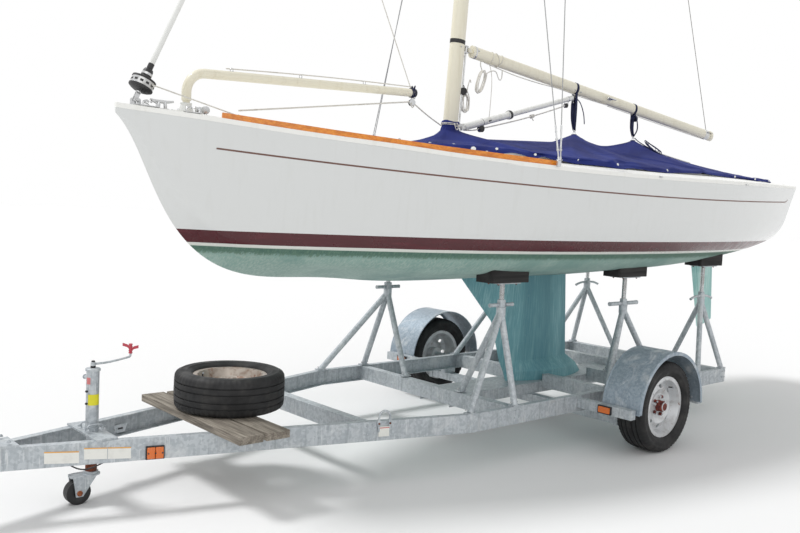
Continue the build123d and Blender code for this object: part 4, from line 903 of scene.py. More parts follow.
boom_parts = Piece("boom_fittings", "main_boom", stainless, black_plastic, white_rope, white_paint)
boom_ring(boom_parts, 0.052, 0.014, 0.0015)
boom_ring(boom_parts, BOOM_LENGTH - 0.06, 0.06, 0.0022, 3)
tip = on_boom(BOOM_LENGTH)
for side in SIDES:
    at = tip + Vector((0.012, side * 0.0335, 0.02))
    boom_parts.block(at, (0.09, 0.003, 0.03), 0, boom_aft, Y * side, 0.001)
    cleat(boom_parts, on_boom(1.62, 0, side * 0.0305), boom_aft, Y * side, 0.1)
    for aft in (0.075, 1.18, 1.25):
        boom_parts.bolt(on_boom(aft, 0.012 if aft < 1 else -0.022, side * 0.0298), Y * side, 0.006)
block_pulley(boom_parts, on_boom(2.05, -0.075), boom_up, X, 0.042, 1, 0)
boom_parts.turned(on_boom(2.05, -0.0445), -boom_up, [(0, -0.002), (0.017, -0.002), (0.015, 0.005),
                                                     (0, 0.006)], 20)
for aft, slant in ((0.222, 0.012), (0.285, -0.014), (0.318, 0.02)):
    boom_parts.tube(round_boom(aft, 0.0026, slant=slant), 0.0026, 2, closed=True)
boom_parts.done()

slack = Piece("outhaul_line", "main_boom", white_rope)
sag = [on_boom(aft, -BOOM_HALF_HIGH - drop, 0.012) for aft, drop in
       ((0.16, 0.004), (0.3, 0.012), (0.5, 0.02), (0.75, 0.017), (1.0, 0.006), (1.3, 0.01), (1.62, 0.004))]
slack.cord(sag, 0.0035, steps=8)
slack.tube([on_boom(1.66, -0.0465, -0.008), on_boom(2.4, -0.049, -0.006), on_boom(3.19, -0.047, 0)], 0.003)
slack.done()

PEAKS = ((-1.072, 2.194), (-1.877, 2.212))
# each strap's legs: distance to port, width, how far it bows forward
STRAP_LEGS = (((0.006, 0.024, 0.010), (-0.006, 0.020, -0.012), (0.001, 0.030, 0.002), (-0.002, 0.026, 0.016)),
              ((0.010, 0.016, -0.020), (-0.004, 0.026, 0.008), (0.002, 0.024, 0.018), (-0.007, 0.020, 0.002)))


def strap_line(peak_x, peak_z):
    """A strap's distance along the boom, its foot on the cover and its knot."""
    reach = (boom_pivot.x - peak_x - 0.02) / cos(DROP)
    foot = Vector((peak_x, 0, peak_z + 0.028))
    return reach, foot, on_boom(reach, -0.036).lerp(foot, 0.16)


straps = Piece("boom_straps", "main_boom", webbing, stainless)
for peak, legs in zip(PEAKS, STRAP_LEGS):
    reach, foot, knot = strap_line(*peak)
    strap(straps, round_boom(reach, 0.0015), boom_aft, 0.026, 0.0016, closed=True)
    for n, (aside, wide, bow_out) in enumerate(legs):
        start = on_boom(reach, -0.036, 0.021 * (1, -1, 0.4, -0.4)[n])
        path = smooth_path([start, start.lerp(foot, 0.35) + Vector((bow_out * 0.8, aside * 1.6, 0)),
                            start.lerp(foot, 0.7) + Vector((bow_out, aside * 2, 0)),
                            foot + Y * aside * 0.4], 8)
        strap(straps, path, level_arm(0.7 * n), wide, 0.002)
    for k in range(3):
        straps.tube([knot + Vector((0.019 * cos(tau * n / 20 + k), 0.013 * sin(tau * n / 20 + k),
                                    0.006 * sin(tau * n / 10 + k) - 0.007 * k)) for n in range(20)], 0.0058,
                    closed=True)
    straps.ring(foot, X, Z, 0.013, 0.0022, 1, 20)
straps.done()

# Vang: fork, ring on the tube, and the tackle below it
TUBE_RADIUS, COLLAR_RADIUS, ROD_RADIUS = 0.025, 0.03, 0.019
vang_ring = Piece("vang_ring", "vang_tube", black_plastic, white_paint)
ring_at = vang_pivot + vang_aft * 0.492
vang_ring.turned(ring_at, vang_aft, [(COLLAR_RADIUS, -0.001), (COLLAR_RADIUS + 0.0018, 0),
                                     (COLLAR_RADIUS + 0.0026, 0.004), (COLLAR_RADIUS + 0.0026, 0.018),
                                     (COLLAR_RADIUS + 0.0008, 0.023), (ROD_RADIUS + 0.0005, 0.024)], 32)
vang_ring.turned(vang_pivot + vang_aft * 0.206, vang_aft, [(TUBE_RADIUS, 0), (TUBE_RADIUS + 0.0008, 0.0004),
                                                           (TUBE_RADIUS + 0.0008, 0.003),
                                                           (TUBE_RADIUS, 0.0034)], 32)
for side in SIDES:
    vang_ring.block(vang_pivot + vang_aft * 0.27 + Y * (side * (TUBE_RADIUS - 0.0004)),
                    (0.03, 0.003, 0.009), 0, vang_aft, vang_aft.cross(Y), 0.001)
vang_ring.done()

low, high = Vector((-0.012, 0, 2.142)), Vector((-0.948, 0, 2.402))
tackle = Piece("vang_tackle", ("vang_tube", "vang_rod", low, high), white_rope)
KNOT_AT, TACKLE_SAG = 0.58, 0.012
for side in SIDES:
    thick = 0.0042 if side == PORT else 0.0036
    tackle.tube(sagging(low + Y * side * 0.0062, high + Y * side * 0.0032, 30, TACKLE_SAG), thick)
knot = low.lerp(high, KNOT_AT) - Z * TACKLE_SAG
for k in range(4):
    tackle.tube([knot + (high - low).normalized() * (0.009 * k - 0.014)
                 + Vector((0.002 * sin(a), 0.0105 * cos(a + k), 0.0105 * sin(a + k)))
                 for a in (tau * n / 16 for n in range(16))], 0.0042, closed=True)
tackle.cord([knot, knot + Vector((0.012, 0.012, -0.014)), knot + Vector((0.004, 0.02, -0.034))], 0.0036)
tackle.done()
for end, body, along in ((low, "vang_tube", -vang_aft), (high, "vang_rod", vang_aft)):
    sheave = Piece(f"vang_block_{body}", body, black_plastic, stainless, white_rope)
    size, tube_radius = (0.042, TUBE_RADIUS) if body == "vang_tube" else (0.03, ROD_RADIUS)
    block_pulley(sheave, end, along, Y, size)
    strut = vang_pivot + vang_aft * (end + along * 0.035 - vang_pivot).dot(vang_aft)
    if body == "vang_tube":
        for side in SIDES:
            sheave.cord([end + along * 0.034 + Y * side * 0.006, end + along * 0.09
                         + Vector((0, side * 0.014, 0.004)), vang_pivot + vang_aft * 0.035
                         + Vector((0, side * 0.017, -0.022))], 0.0036, 2)
    else:
        sheave.tube([end + along * 0.026, strut + along * 0.004], 0.003, 1, 8)
        sheave.turned(strut - vang_aft * 0.006, vang_aft, [(tube_radius, 0), (tube_radius + 0.002, 0.001),
                                                           (tube_radius + 0.002, 0.011),
                                                           (tube_radius, 0.012)], 28, 1)
    sheave.done()

# Topping lift, from the mast's head to the boom's end, and the jib boom's lines
lift_top, lift_foot = on_mast(*LIFT_RING), on_boom(BOOM_LENGTH - 0.02, 0.045)
topping = Piece("topping_lift", ("boom_toggle", "main_boom", lift_top, lift_foot), grey_rope)
topping.tube(sagging(lift_top, lift_foot, 90), 0.0028)
topping.done()

JIB_END = Vector((0.634, 0, 2.314))
jib_back = (JIB_END - Vector((2.262, 0, 2.236))).normalized()
jib_up = jib_back.cross(Y)
JIB_RADIUS = 0.026
jib_parts = Piece("jib_boom_fittings", "jib_boom", black_plastic, stainless, white_rope)
jib_parts.turned(JIB_END - jib_back * 0.012, jib_back,
                 [(JIB_RADIUS - 0.001, 0), (JIB_RADIUS + 0.0015, 0.001), (JIB_RADIUS + 0.0015, 0.016),
                  (JIB_RADIUS - 0.006, 0.021), (0, 0.022)], 32)
for reach in (0.02, 0.42, 0.9, 1.36):
    at = JIB_END - jib_back * reach - jib_up * (JIB_RADIUS - 0.001)
    jib_parts.turned(at, -jib_up, [(0, -0.002), (0.011, -0.002), (0.01, 0.003), (0, 0.004)], 18, 1)
    jib_parts.ring(at - jib_up * 0.009, jib_back, jib_up, 0.0095, 0.0022, 1)
sheet_run = [JIB_END - jib_back * (0.03 + 0.062 * k)
             - jib_up * (JIB_RADIUS + 0.012 + 0.008 * sin(pi * k / 22)) for k in range(23)]
jib_parts.tube(sheet_run, 0.0035, 2, 8)
jib_parts.ring(JIB_END + jib_up * (JIB_RADIUS + 0.003), jib_back * (0.008 / 0.009), jib_up, 0.009, 0.0022, 1)
jib_parts.done()

aloft, clew = stay_foot + stay_up * 2.24, JIB_END + jib_up * 0.038
jib_lift = Piece("jib_boom_lift", (BOAT, "jib_boom", aloft, clew), white_rope)
jib_lift.tube(sagging(aloft, clew, 70), 0.003)
jib_lift.done()
inboard, bow_lead = Vector((0.388, 0.016, 2.124)), Vector((2.06, 0.2, 2.045))
SHEET_BLOCK = Vector((0.652, 0, 2.25))
jib_tail = Piece("jib_boom_tail", (BOAT, "jib_boom", inboard, SHEET_BLOCK), white_rope)
jib_tail.tube(sagging(inboard, SHEET_BLOCK - X * 0.012, 24, 0.006), 0.0045)
jib_tail.done()
jib_sheet = Piece("jib_sheet", (BOAT, "jib_boom", bow_lead, SHEET_BLOCK), white_rope)
jib_sheet.tube(sagging(bow_lead, SHEET_BLOCK + Vector((0.012, 0, 0.004)), 60), 0.0045)
jib_sheet.done()
lashing = Piece("jib_sheet_block", "jib_boom", stainless, black_plastic, webbing, white_rope)
block_pulley(lashing, SHEET_BLOCK, Z, (0.25, 1, 0), 0.036)
for n in range(3):
    reach = 0.012 + 0.011 * n
    lashing.ring(JIB_END - jib_back * reach, jib_up, Y, JIB_RADIUS + 0.002, 0.0036, 2, 24)
for side in SIDES:
    lashing.cord([JIB_END - jib_back * 0.02 - jib_up * 0.022 + Y * side * 0.016,
                  JIB_END - jib_back * 0.004 - jib_up * 0.042 + Y * side * 0.012,
                  SHEET_BLOCK + Vector((0, side * 0.007, 0.03))], 0.004, 2)
tail = ((0.01, 0.014, -0.004), (0.024, 0.02, -0.02), (0.012, 0.022, -0.034), (-0.006, 0.018, -0.018))
lashing.cord([SHEET_BLOCK + Vector(p) for p in tail], 0.0032, 3)
lashing.done()

# Cockpit cover: cloth laid over the coaming, held by its snaps, its collar at the mast and two straps
# x, half width, height of the shoulder over the coaming and height of the ridge
COVER_RIBS = np.array([(0.690, 0.104, 2.004, 2.018), (0.500, 0.316, 2.001, 2.056),
                       (0.300, 0.534, 1.982, 2.088), (0.043, 0.592, 1.966, 2.090),
                       (-0.216, 0.645, 1.956, 2.104), (-0.490, 0.704, 1.950, 2.119),
                       (-0.817, 0.716, 1.947, 2.137), (-0.980, 0.722, 1.946, 2.168),
                       (-1.072, 0.726, 1.946, 2.194), (-1.180, 0.723, 1.946, 2.168),
                       (-1.421, 0.716, 1.945, 2.126), (-1.520, 0.708, 1.945, 2.134),
                       (-1.780, 0.690, 1.945, 2.186), (-1.877, 0.682, 1.945, 2.212),
                       (-1.980, 0.671, 1.945, 2.190), (-2.302, 0.634, 1.945, 2.151),
                       (-2.635, 0.612, 1.946, 2.113), (-2.938, 0.600, 1.949, 2.084),
                       (-3.160, 0.590, 1.954, 2.050)])
# x, height of the line of snaps
SNAP_LINE = np.array([(0.69, 1.999), (0.593, 1.993), (0.493, 1.989), (0.343, 1.967), (0.073, 1.949),
                      (-0.275, 1.936), (-0.654, 1.930), (-1.269, 1.925), (-2.467, 1.921), (-3.16, 1.924)])
HEM_DROP, HEM_CLEAR, SNAP_OVER_HEM, SHOULDER_OVER_HEM = 0.028, 0.003, 0.016, 0.040
SNAP_XS = (0.593, 0.493, 0.343, 0.073, -0.275, -0.654, -1.269, -2.467, -2.86, -3.13)
LAP_X, LAP_REACH, LAP_LIFT = -1.87, 0.05, 0.018
SNAP_HOLD, PEAK_HOLD, RIM_HOLD, END_HOLD = 0.0135, 0.034, 0.22, 0.8    # two reaches, then two strengths
FRAMES, MOST_SAG = 34, 0.024
COVER_ROWS, COVER_COLUMNS, SKIRT, TUCK = 156, 62, 3, 0.012
MAST_HOLE, COLLAR_GAP = (0.074, 0.057), 0.007


def rib_value(x, column):
    """A column of the cover's table at any x."""
    return float(np.interp(-x, -COVER_RIBS[:, 0], COVER_RIBS[:, column]))


def snap_line(x):
    """Height of the line of snaps."""
    return float(np.interp(-x, -SNAP_LINE[:, 0], SNAP_LINE[:, 1]))


def hem_height(x):
    """Height of the cover's lower edge, clear of the deck and lifted between the snaps and at the lap."""
    deck_at = on_deck(x, rib_value(x, 1) + 0.02)
    low = max(snap_line(x) - HEM_DROP, deck_at.z + HEM_CLEAR if deck_at is not None else 0)
    ordered = sorted(SNAP_XS)
    gap = next(((a, b) for a, b in zip(ordered, ordered[1:]) if a <= x <= b), None)
    lift = sin(pi * (x - gap[0]) / (gap[1] - gap[0])) * min(0.009, (gap[1] - gap[0]) * 0.02) if gap else 0
    return low + lift + LAP_LIFT * max(0.0, 1 - abs(x - LAP_X) / LAP_REACH)


def row_x(row):
    """A row's place along the boat."""
    return COVER_RIBS[0, 0] + (COVER_RIBS[-1, 0] - COVER_RIBS[0, 0]) * row / COVER_ROWS


def cover_point(i, j):
    """Place of one corner of the cloth before it settles: rows run aft and columns run to port."""
    row, column = min(max(i - SKIRT, 0), COVER_ROWS), min(max(j - SKIRT, 0), COVER_COLUMNS)
    x = row_x(row)
    v = 2 * column / COVER_COLUMNS - 1
    half, ridge = rib_value(x, 1), rib_value(x, 3)
    snap = max(rib_value(x, 2), edge_heights[row] + SHOULDER_OVER_HEM)
    y, z = half * v, snap + (ridge - snap) * (1 - abs(v)) ** 1.08
    past = max(SKIRT - j, j - SKIRT - COVER_COLUMNS, 0) / SKIRT
    over = max(SKIRT - i, i - SKIRT - COVER_ROWS, 0) / SKIRT
    down = max(past, over)
    if down:
        z += (edge_heights[row] - z) * down
        y += TUCK * past * (1 if v > 0 else -1)
        x += TUCK * over * (1 if i < SKIRT else -1)
    return Vector((x, y, z))


edge_heights = [hem_height(row_x(row)) for row in range(COVER_ROWS + 1)]
high_row, high_column = COVER_ROWS + 2 * SKIRT + 1, COVER_COLUMNS + 2 * SKIRT + 1
cover_start = [cover_point(i, j) for i in range(high_row) for j in range(high_column)]
cover_faces, collar_at = [], on_mast(0.205)


def mast_share(point):
    """Distance from the mast's axis as a share of the hole's oval."""
    centre = mast_foot + mast_up * ((point - mast_foot).dot(mast_up))
    return ((point.x - centre.x) / MAST_HOLE[0]) ** 2 + (point.y / MAST_HOLE[1]) ** 2


for i in range(high_row - 1):
    for j in range(high_column - 1):
        corner = i * high_column + j
        face = (corner, corner + 1, corner + high_column + 1, corner + high_column)
        if mast_share(sum((cover_start[k] for k in face), Vector()) / 4) > 1:
            cover_faces.append(face)
cloth_mesh = bpy.data.meshes.new("cockpit_cover_cloth")
cloth_mesh.from_pydata(cover_start, [], cover_faces)
work = bmesh.new()
work.from_mesh(cloth_mesh)
bmesh.ops.delete(work, geom=[v for v in work.verts if not v.link_faces], context="VERTS")
holds = work.verts.layers.float.new("hold")
for vert in work.verts:
    share = mast_share(vert.co)
    if vert.is_boundary and share < 3:
        out = Vector(((vert.co.x - collar_at.x) / MAST_HOLE[0], vert.co.y / MAST_HOLE[1], 0)).normalized()
        half_long, half_wide = MAST_HALF_LONG + COLLAR_GAP, MAST_HALF_WIDE + COLLAR_GAP
        vert.co = collar_at + Vector((out.x * half_long, out.y * half_wide, 0.004))
        vert[holds] = 1.0
    elif share < 6 and vert.co.z > 2.03:
        vert.co.z += 0.012 * (6 - share) / 6
    for peak_x, peak_z in PEAKS:
        if (vert.co - Vector((peak_x, 0, peak_z))).length < PEAK_HOLD:
            vert[holds] = 1.0
            vert.co.z = max(vert.co.z, peak_z - 0.006)
    edge = abs(vert.co.y) - rib_value(vert.co.x, 1)
    near = min(abs(vert.co.x - x) for x in SNAP_XS)
    if edge > 0.003 and near < SNAP_HOLD:
        vert[holds] = 1.0
    elif edge > 0.003:
        vert[holds] = max(vert[holds], RIM_HOLD)
    if vert.co.x > COVER_RIBS[0, 0] + 0.003 or vert.co.x < COVER_RIBS[-1, 0] - 0.003:
        vert[holds] = max(vert[holds], END_HOLD)
work.to_mesh(cloth_mesh)
work.free()
cover = new_object("cockpit_cover_cloth", cloth_mesh)
group = cover.vertex_groups.new(name="pins")
for index, item in enumerate(cloth_mesh.attributes["hold"].data):
    if item.value > 0:
        group.add([index], item.value, "REPLACE")
cloth_mesh.attributes.remove(cloth_mesh.attributes["hold"])
start_places = [v.co.copy() for v in cloth_mesh.vertices]

stands_in = []
for name in ("deck", "cockpit_coaming"):
    copy = new_object("solid_" + name, nodes[name].data.copy())
    copy.modifiers.new("collision", "COLLISION")
    copy.collision.thickness_outer, copy.collision.cloth_friction = 0.003, 8
    stands_in.append(copy)
cloth = cover.modifiers.new("cloth", "CLOTH")
cloth.settings.quality, cloth.settings.mass = 7, 0.16
cloth.settings.tension_stiffness, cloth.settings.compression_stiffness = 60, 8
cloth.settings.shear_stiffness, cloth.settings.bending_stiffness = 7, 0.9
cloth.settings.shrink_min, cloth.settings.air_damping = -0.004, 2.5
cloth.settings.vertex_group_mass = group.name
cloth.collision_settings.distance_min = 0.003
cloth.point_cache.frame_start, cloth.point_cache.frame_end = 1, FRAMES
for number in range(1, FRAMES + 1):
    bpy.context.scene.frame_set(number)
settled = bpy.data.meshes.new_from_object(cover.evaluated_get(bpy.context.evaluated_depsgraph_get()))
bpy.context.scene.frame_set(1)
cover.modifiers.remove(cloth)
for vert, after, before in zip(cloth_mesh.vertices, settled.vertices, start_places):
    move = after.co - before
    vert.co = before + move * min(1, MOST_SAG / max(move.length, 1e-6))
bpy.data.meshes.remove(settled)
for copy in stands_in:
    shape = copy.data
    bpy.data.objects.remove(copy)
    bpy.data.meshes.remove(shape)

smooth = cover.modifiers.new("smooth", "SUBSURF")
smooth.levels = smooth.render_levels = 1
final = bpy.data.meshes.new_from_object(cover.evaluated_get(bpy.context.evaluated_depsgraph_get()))
cover.modifiers.remove(smooth)
cover.data = final
bpy.data.meshes.remove(cloth_mesh)
final.name = "cockpit_cover_cloth"
final.materials.clear()
final.materials.append(cover_cloth.material)
final.polygons.foreach_set("use_smooth", [True] * len(final.polygons))
cover_tree = BVHTree.FromPolygons([v.co.copy() for v in final.vertices],
                                  [tuple(p.vertices) for p in final.polygons])
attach(cover, BOAT)
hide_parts("cockpit_cover")

# Hem roll, seams and snaps on the cloth
work = bmesh.new()
work.from_mesh(final)
rims = {}
for edge in work.edges:
    if edge.is_boundary:
        for one, other in (tuple(edge.verts), tuple(edge.verts)[::-1]):
            rims.setdefault(one.index, []).append(other.index)
places = [v.co.copy() for v in work.verts]
work.free()
first = min(rims, key=lambda k: places[k].x)
loop, seen_rims = [first], {first}
while True:
    onward = [k for k in rims[loop[-1]] if k not in seen_rims]
    if not onward:
        break
    loop.append(onward[0])
    seen_rims.add(onward[0])
trim = Piece("cover_hem", BOAT, cover_cloth, white_paint, stainless)
trim.tube([places[k] for k in loop[::2]], 0.0032, 0, 6, True)


def over_cover(x, y):
    """Point and upward normal on the settled cloth."""
    at, out, _, _ = cover_tree.ray_cast(Vector((x, y, ABOVE_DECK)), DOWN)
    return (at, out if out.z > 0 else -out) if at is not None else (None, None)


def seam(starts, lift=0.0011, half=0.006):
    """A flat lapped seam, laid on the cloth along some points seen from above."""
    spots = [(at, out) for at, out in (over_cover(x, y) for x, y in starts) if at is not None]
    rows = []
    for k, (at, out) in enumerate(spots):
        onward = (spots[min(k + 1, len(spots) - 1)][0] - spots[max(k - 1, 0)][0]).normalized()
        side = onward.cross(out).normalized()
        rows.append([at + side * half + out * 0.0002, at + side * half * 0.8 + out * lift,
                     at - side * half * 0.8 + out * lift, at - side * half + out * 0.0002])
    if len(rows) > 2:
        trim.grid(rows, 0, flip=True)


for share in (0.0, 0.52, -0.52):
    seam([(x, rib_value(x, 1) * share) for x in np.linspace(0.16 if share == 0 else 0.55, -3.15, 200)])
for x in (-0.42, -1.48, -2.42):
    seam([(x, y) for y in np.linspace(-rib_value(x, 1) * 0.97, rib_value(x, 1) * 0.97, 80)])
for side in SIDES:
    for x in SNAP_XS:
        z = max(snap_line(x), hem_height(x) + SNAP_OVER_HEM)
        at, out = from_side(cover_tree, x, z, side, 1.3)
        if at is not None:
            trim.turned(at, out, [(0.0092, -0.001), (0.0095, 0.0012), (0.008, 0.0032), (0.004, 0.0042),
                                  (0, 0.0044)], 20, 1)
for peak_x, peak_z in PEAKS:
    at = over_cover(peak_x, 0)[0]
    trim.turned(at, Z, [(0.022, -0.002), (0.022, 0.0012), (0.016, 0.003), (0, 0.0032)], 28)
    trim.ring(at + Z * 0.012, X, Z, 0.014, 0.0022, 2, 18)

# Lap of the cloth on the port side, whose free edge stands a little proud, and the big button
BUTTON_AT = (0.448, 0.381)
LAP_LINE = smooth_path([(-1.46, 0.02, 0), (-1.55, 0.20, 0), (-1.63, 0.345, 0), (-1.79, 0.508, 0),
                        (-1.89, 0.615, 0), (-1.925, 0.655, 0)], 16)
LAP_SECTION = ((0.07, 0.0006), (0.05, 0.003), (0.025, 0.0058), (0.006, 0.0082), (0.0, 0.0078),
               (0.001, 0.0052), (0.02, 0.0032), (0.06, 0.0002))
lap_rows = []
for k, spot in enumerate(LAP_LINE):
    laid = [over_cover(spot.x + inward * 0.9, spot.y - inward * 0.4)[0] for inward, _ in LAP_SECTION]
    if all(at is not None for at in laid):
        stand = min(1, 0.15 + k / 14)
        lap_rows.append([at + Z * (lift * stand) for at, (_, lift) in zip(laid, LAP_SECTION)])
trim.grid(lap_rows)
at, out = over_cover(*BUTTON_AT)
trim.turned(at, out, [(0.017, -0.001), (0.0175, 0.0015), (0.0135, 0.0036), (0.0095, 0.0036)], 28, 2)
trim.turned(at, out, [(0.0098, 0.001), (0.0094, 0.0052), (0.0062, 0.0072), (0, 0.0076)], 24, 1)
hem_piece = trim.done()


def free_cord(name, points, size, shade, body=BOAT):
    """A free cord as one open spline through its guide points."""
    points = [Vector(p) for p in points]
    curve = bpy.data.curves.new(name, "CURVE")
    curve.dimensions, curve.bevel_depth, curve.bevel_resolution, curve.resolution_u = "3D", size / 2, 3, 6
    spline = curve.splines.new("NURBS")
    spline.points.add(len(points) - 1)
    for control, place in zip(spline.points, points):
        control.co = (*place, 1)
    spline.order_u, spline.use_endpoint_u = 3, True
    curve.use_fill_caps = True
    curve.materials.append(shade.material)
    item = new_object(name, curve)
    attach(item, body)


LOOP_STEPS = 12


def loops(centre, wide, high, deep, turns, size, half_wide, half_high, wild):
    """Guide points of a slack bunch of loops: two arms span them and the third stacks them."""
    centre, wide, high, deep = (Vector(v) for v in (centre, wide, high, deep))
    points = []
    for n in range(turns * LOOP_STEPS):
        a = tau * n / LOOP_STEPS
        across = sin(a) * half_wide * (1 + wild * sin(2.3 * a + 0.7))
        along = cos(a) * half_high * (1 + wild * 0.7 * sin(1.37 * a))
        points.append(centre + wide * across + high * along
                      + deep * (size + 0.0014) * (n / LOOP_STEPS - turns / 2))
    return points


LINE, COIL_LINE, TAIL_LINE = 0.007, 0.008, 0.006
mast_bunch = [(0.166, -0.022, 2.625), (0.160, -0.024, 2.58), (0.172, -0.020, 2.52), (0.158, -0.022, 2.46),
              (0.170, -0.024, 2.40)]
mast_bunch += loops((0.158, 0, 2.298), X, Z, Y, 4, LINE, 0.030, 0.060, 0.16)
mast_bunch += [(0.172, 0.024, 2.385), (0.164, 0.030, 2.43), (0.150, 0.030, 2.47), (0.140, 0.028, 2.44)]
free_cord("mast_bunch", mast_bunch, LINE, white_rope, "boom_toggle")
lead_block = Piece("lead_block", "boom_toggle", black_plastic, stainless)
block_pulley(lead_block, (0.186, 0.002, 2.378), Z, (0.3, 1, 0), 0.042, 0, 0)
lead_block.rod((0.186, 0.002, 2.41), (0.184, 0.0, 2.632), 0.0022, 1, 8)
lead_block.done()
boom_bunch = [on_boom(0.135, -0.044, 0.0), on_boom(0.137, -0.065, -0.006)]
boom_bunch += loops((0.018, 0.004, 2.462), (0.94, 0, 0.34), (-0.34, 0, 0.94), Y, 4, LINE, 0.030, 0.084, 0.12)
boom_bunch += [(-0.010, 0.026, 2.520), (-0.050, 0.030, 2.545), (-0.104, 0.031, 2.552), (-0.124, 0.032, 2.512),
               (-0.146, 0.032, 2.488), (-0.170, 0.032, 2.512), (-0.168, 0.030, 2.560)]
free_cord("boom_bunch", boom_bunch, LINE, white_rope, "main_boom")
boom_tail = [on_boom(0.222, -0.0475, 0.004), (-0.066, 0.022, 2.545), (-0.063, 0.036, 2.46),
             (-0.057, 0.038, 2.34), (-0.052, 0.038, 2.24), (-0.047, 0.037, 2.178)]
free_cord("boom_tail", boom_tail, 0.005, white_rope, "main_boom")
tie = [round_mast(0.233 + 0.009 * n / 16, radians(88) + tau * n / 16, 0.0125) for n in range(33)]
tie += [tie[-1] + Vector(p) for p in ((-0.008, 0.010, 0.004), (-0.004, 0.022, -0.018),
                                      (0.004, 0.028, -0.040), (0.020, 0.032, -0.048),
                                      (0.032, 0.028, -0.026), (0.036, 0.024, -0.004))]
free_cord("collar_tie", tie, 0.0055, white_rope)

# Spare ends of the cover's straps: one hangs, the other lies coiled on the cloth with a white tail
strap_end = [strap_line(*PEAKS[0])[2] + Vector(p) for p in ((-0.016, 0.012, 0.0), (-0.036, 0.020, -0.012),
                                                            (-0.064, 0.024, -0.050),
                                                            (-0.092, 0.026, -0.105),
                                                            (-0.104, 0.026, -0.155),
                                                            (-0.108, 0.026, -0.185))]
free_cord("strap_end", strap_end, COIL_LINE, dark_rope, "main_boom")


def on_cover(x, y, lift):
    """A point above the settled cloth."""
    return over_cover(x, y)[0] + Z * lift


COIL_TURNS, COIL_STEPS, COIL_LEAN = 3, 14, 0.024
coil_at = Vector((-2.005, 0.115, 0))
coil = [on_cover(-1.895, 0.004, 0.026), on_cover(-1.91, 0.014, 0.018), on_cover(-1.925, 0.030, 0.010)]
for n in range(COIL_TURNS * COIL_STEPS):
    a = tau * n / COIL_STEPS + 1.3
    grow = 1.16 - 0.2 * n / COIL_STEPS
    coil.append(on_cover(coil_at.x + 0.088 * grow * cos(a), coil_at.y + 0.056 * grow * sin(a),
                         0.006 + COIL_LEAN * (1 - grow * sin(a))))
free_cord("strap_coil", coil, COIL_LINE, dark_rope)
tail = [on_cover(coil_at.x - 0.10, coil_at.y - 0.04, 0.032),
        on_cover(coil_at.x - 0.14, coil_at.y - 0.06, 0.012)]
tail += [on_cover(x, y, 0.0045) for x, y in
         ((-2.17, 0.075), (-2.25, 0.045), (-2.33, 0.03), (-2.40, 0.035), (-2.45, 0.06), (-2.50, 0.085),
          (-2.56, 0.075), (-2.63, 0.06), (-2.70, 0.065))]
free_cord("strap_tail", tail, TAIL_LINE, white_rope)

# Tyres with grooves, shoulder sipes and ribbed walls
HALF_TREAD = ((0.066, 0.192), (0.0685, 0.2), (0.07, 0.2085), (0.082, 0.2095), (0.09, 0.215), (0.098, 0.225),
              (0.1035, 0.238), (0.1045, 0.2385), (0.106, 0.255), (0.1055, 0.268), (0.1062, 0.2688),
              (0.1052, 0.276), (0.1035, 0.28), (0.095, 0.2975), (0.084, 0.3045), (0.0765, 0.306),
              (0.06, 0.3076), (0.0601, 0.3005), (0.0521, 0.3005), (0.052, 0.3078), (0.026, 0.3086),
              (0.0259, 0.3015), (0.0181, 0.3015), (0.018, 0.3088), (0.0, 0.309))
TYRE_STEPS, SHOULDER, RIB_HALF, BEAD_AT = 192, (0.0603, 0.1035), 0.0175, (0.06, 0.188)
TREAD = [(-w, r) for w, r in HALF_TREAD] + [(w, r) for w, r in HALF_TREAD[-2::-1]]


def tyre(name, node, centre, axis, body):
    """A radial tyre: every third step round it cuts the shoulders, and two of six notch the middle rib."""
    piece = Piece(name, body, tyre_rubber)
    centre = Vector(centre)
    across, up, along = arms(axis)
    rows = []
    for n, out in enumerate(circle((0, 0, 0), across, up, 1, TYRE_STEPS)):
        row = []
        for w, r in TREAD:
            sipe = 0.005 if n % 3 == 0 and SHOULDER[0] < abs(w) < SHOULDER[1] and r > 0.29 else 0
            notch = 0.0035 if n % 6 < 2 and abs(w) < RIB_HALF else 0
            row.append(centre + along * w + out * (r - sipe - notch))
        rows.append(row + [centre + along * BEAD_AT[0] * end + out * BEAD_AT[1] for end in (1, -1)])
    piece.grid(rows + rows[:1], wrap=True)
    piece.done([node], 50)


FAR = Vector((1, -1, 1))
WHEEL_AT, NUT_CIRCLE = Vector((-0.715, 1.088, 0.309)), 0.062
SPARE_AT = sum((Vector(corner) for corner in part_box("spare_tyre")), Vector()) / 2
tyre("port_tyre_tread", "port_tyre", WHEEL_AT, Y, "port_wheel")
tyre("stbd_tyre_tread", "stbd_tyre", WHEEL_AT * FAR, -Y, "stbd_wheel")
tyre("spare_tyre_tread", "spare_tyre", SPARE_AT, Z, BOAT)


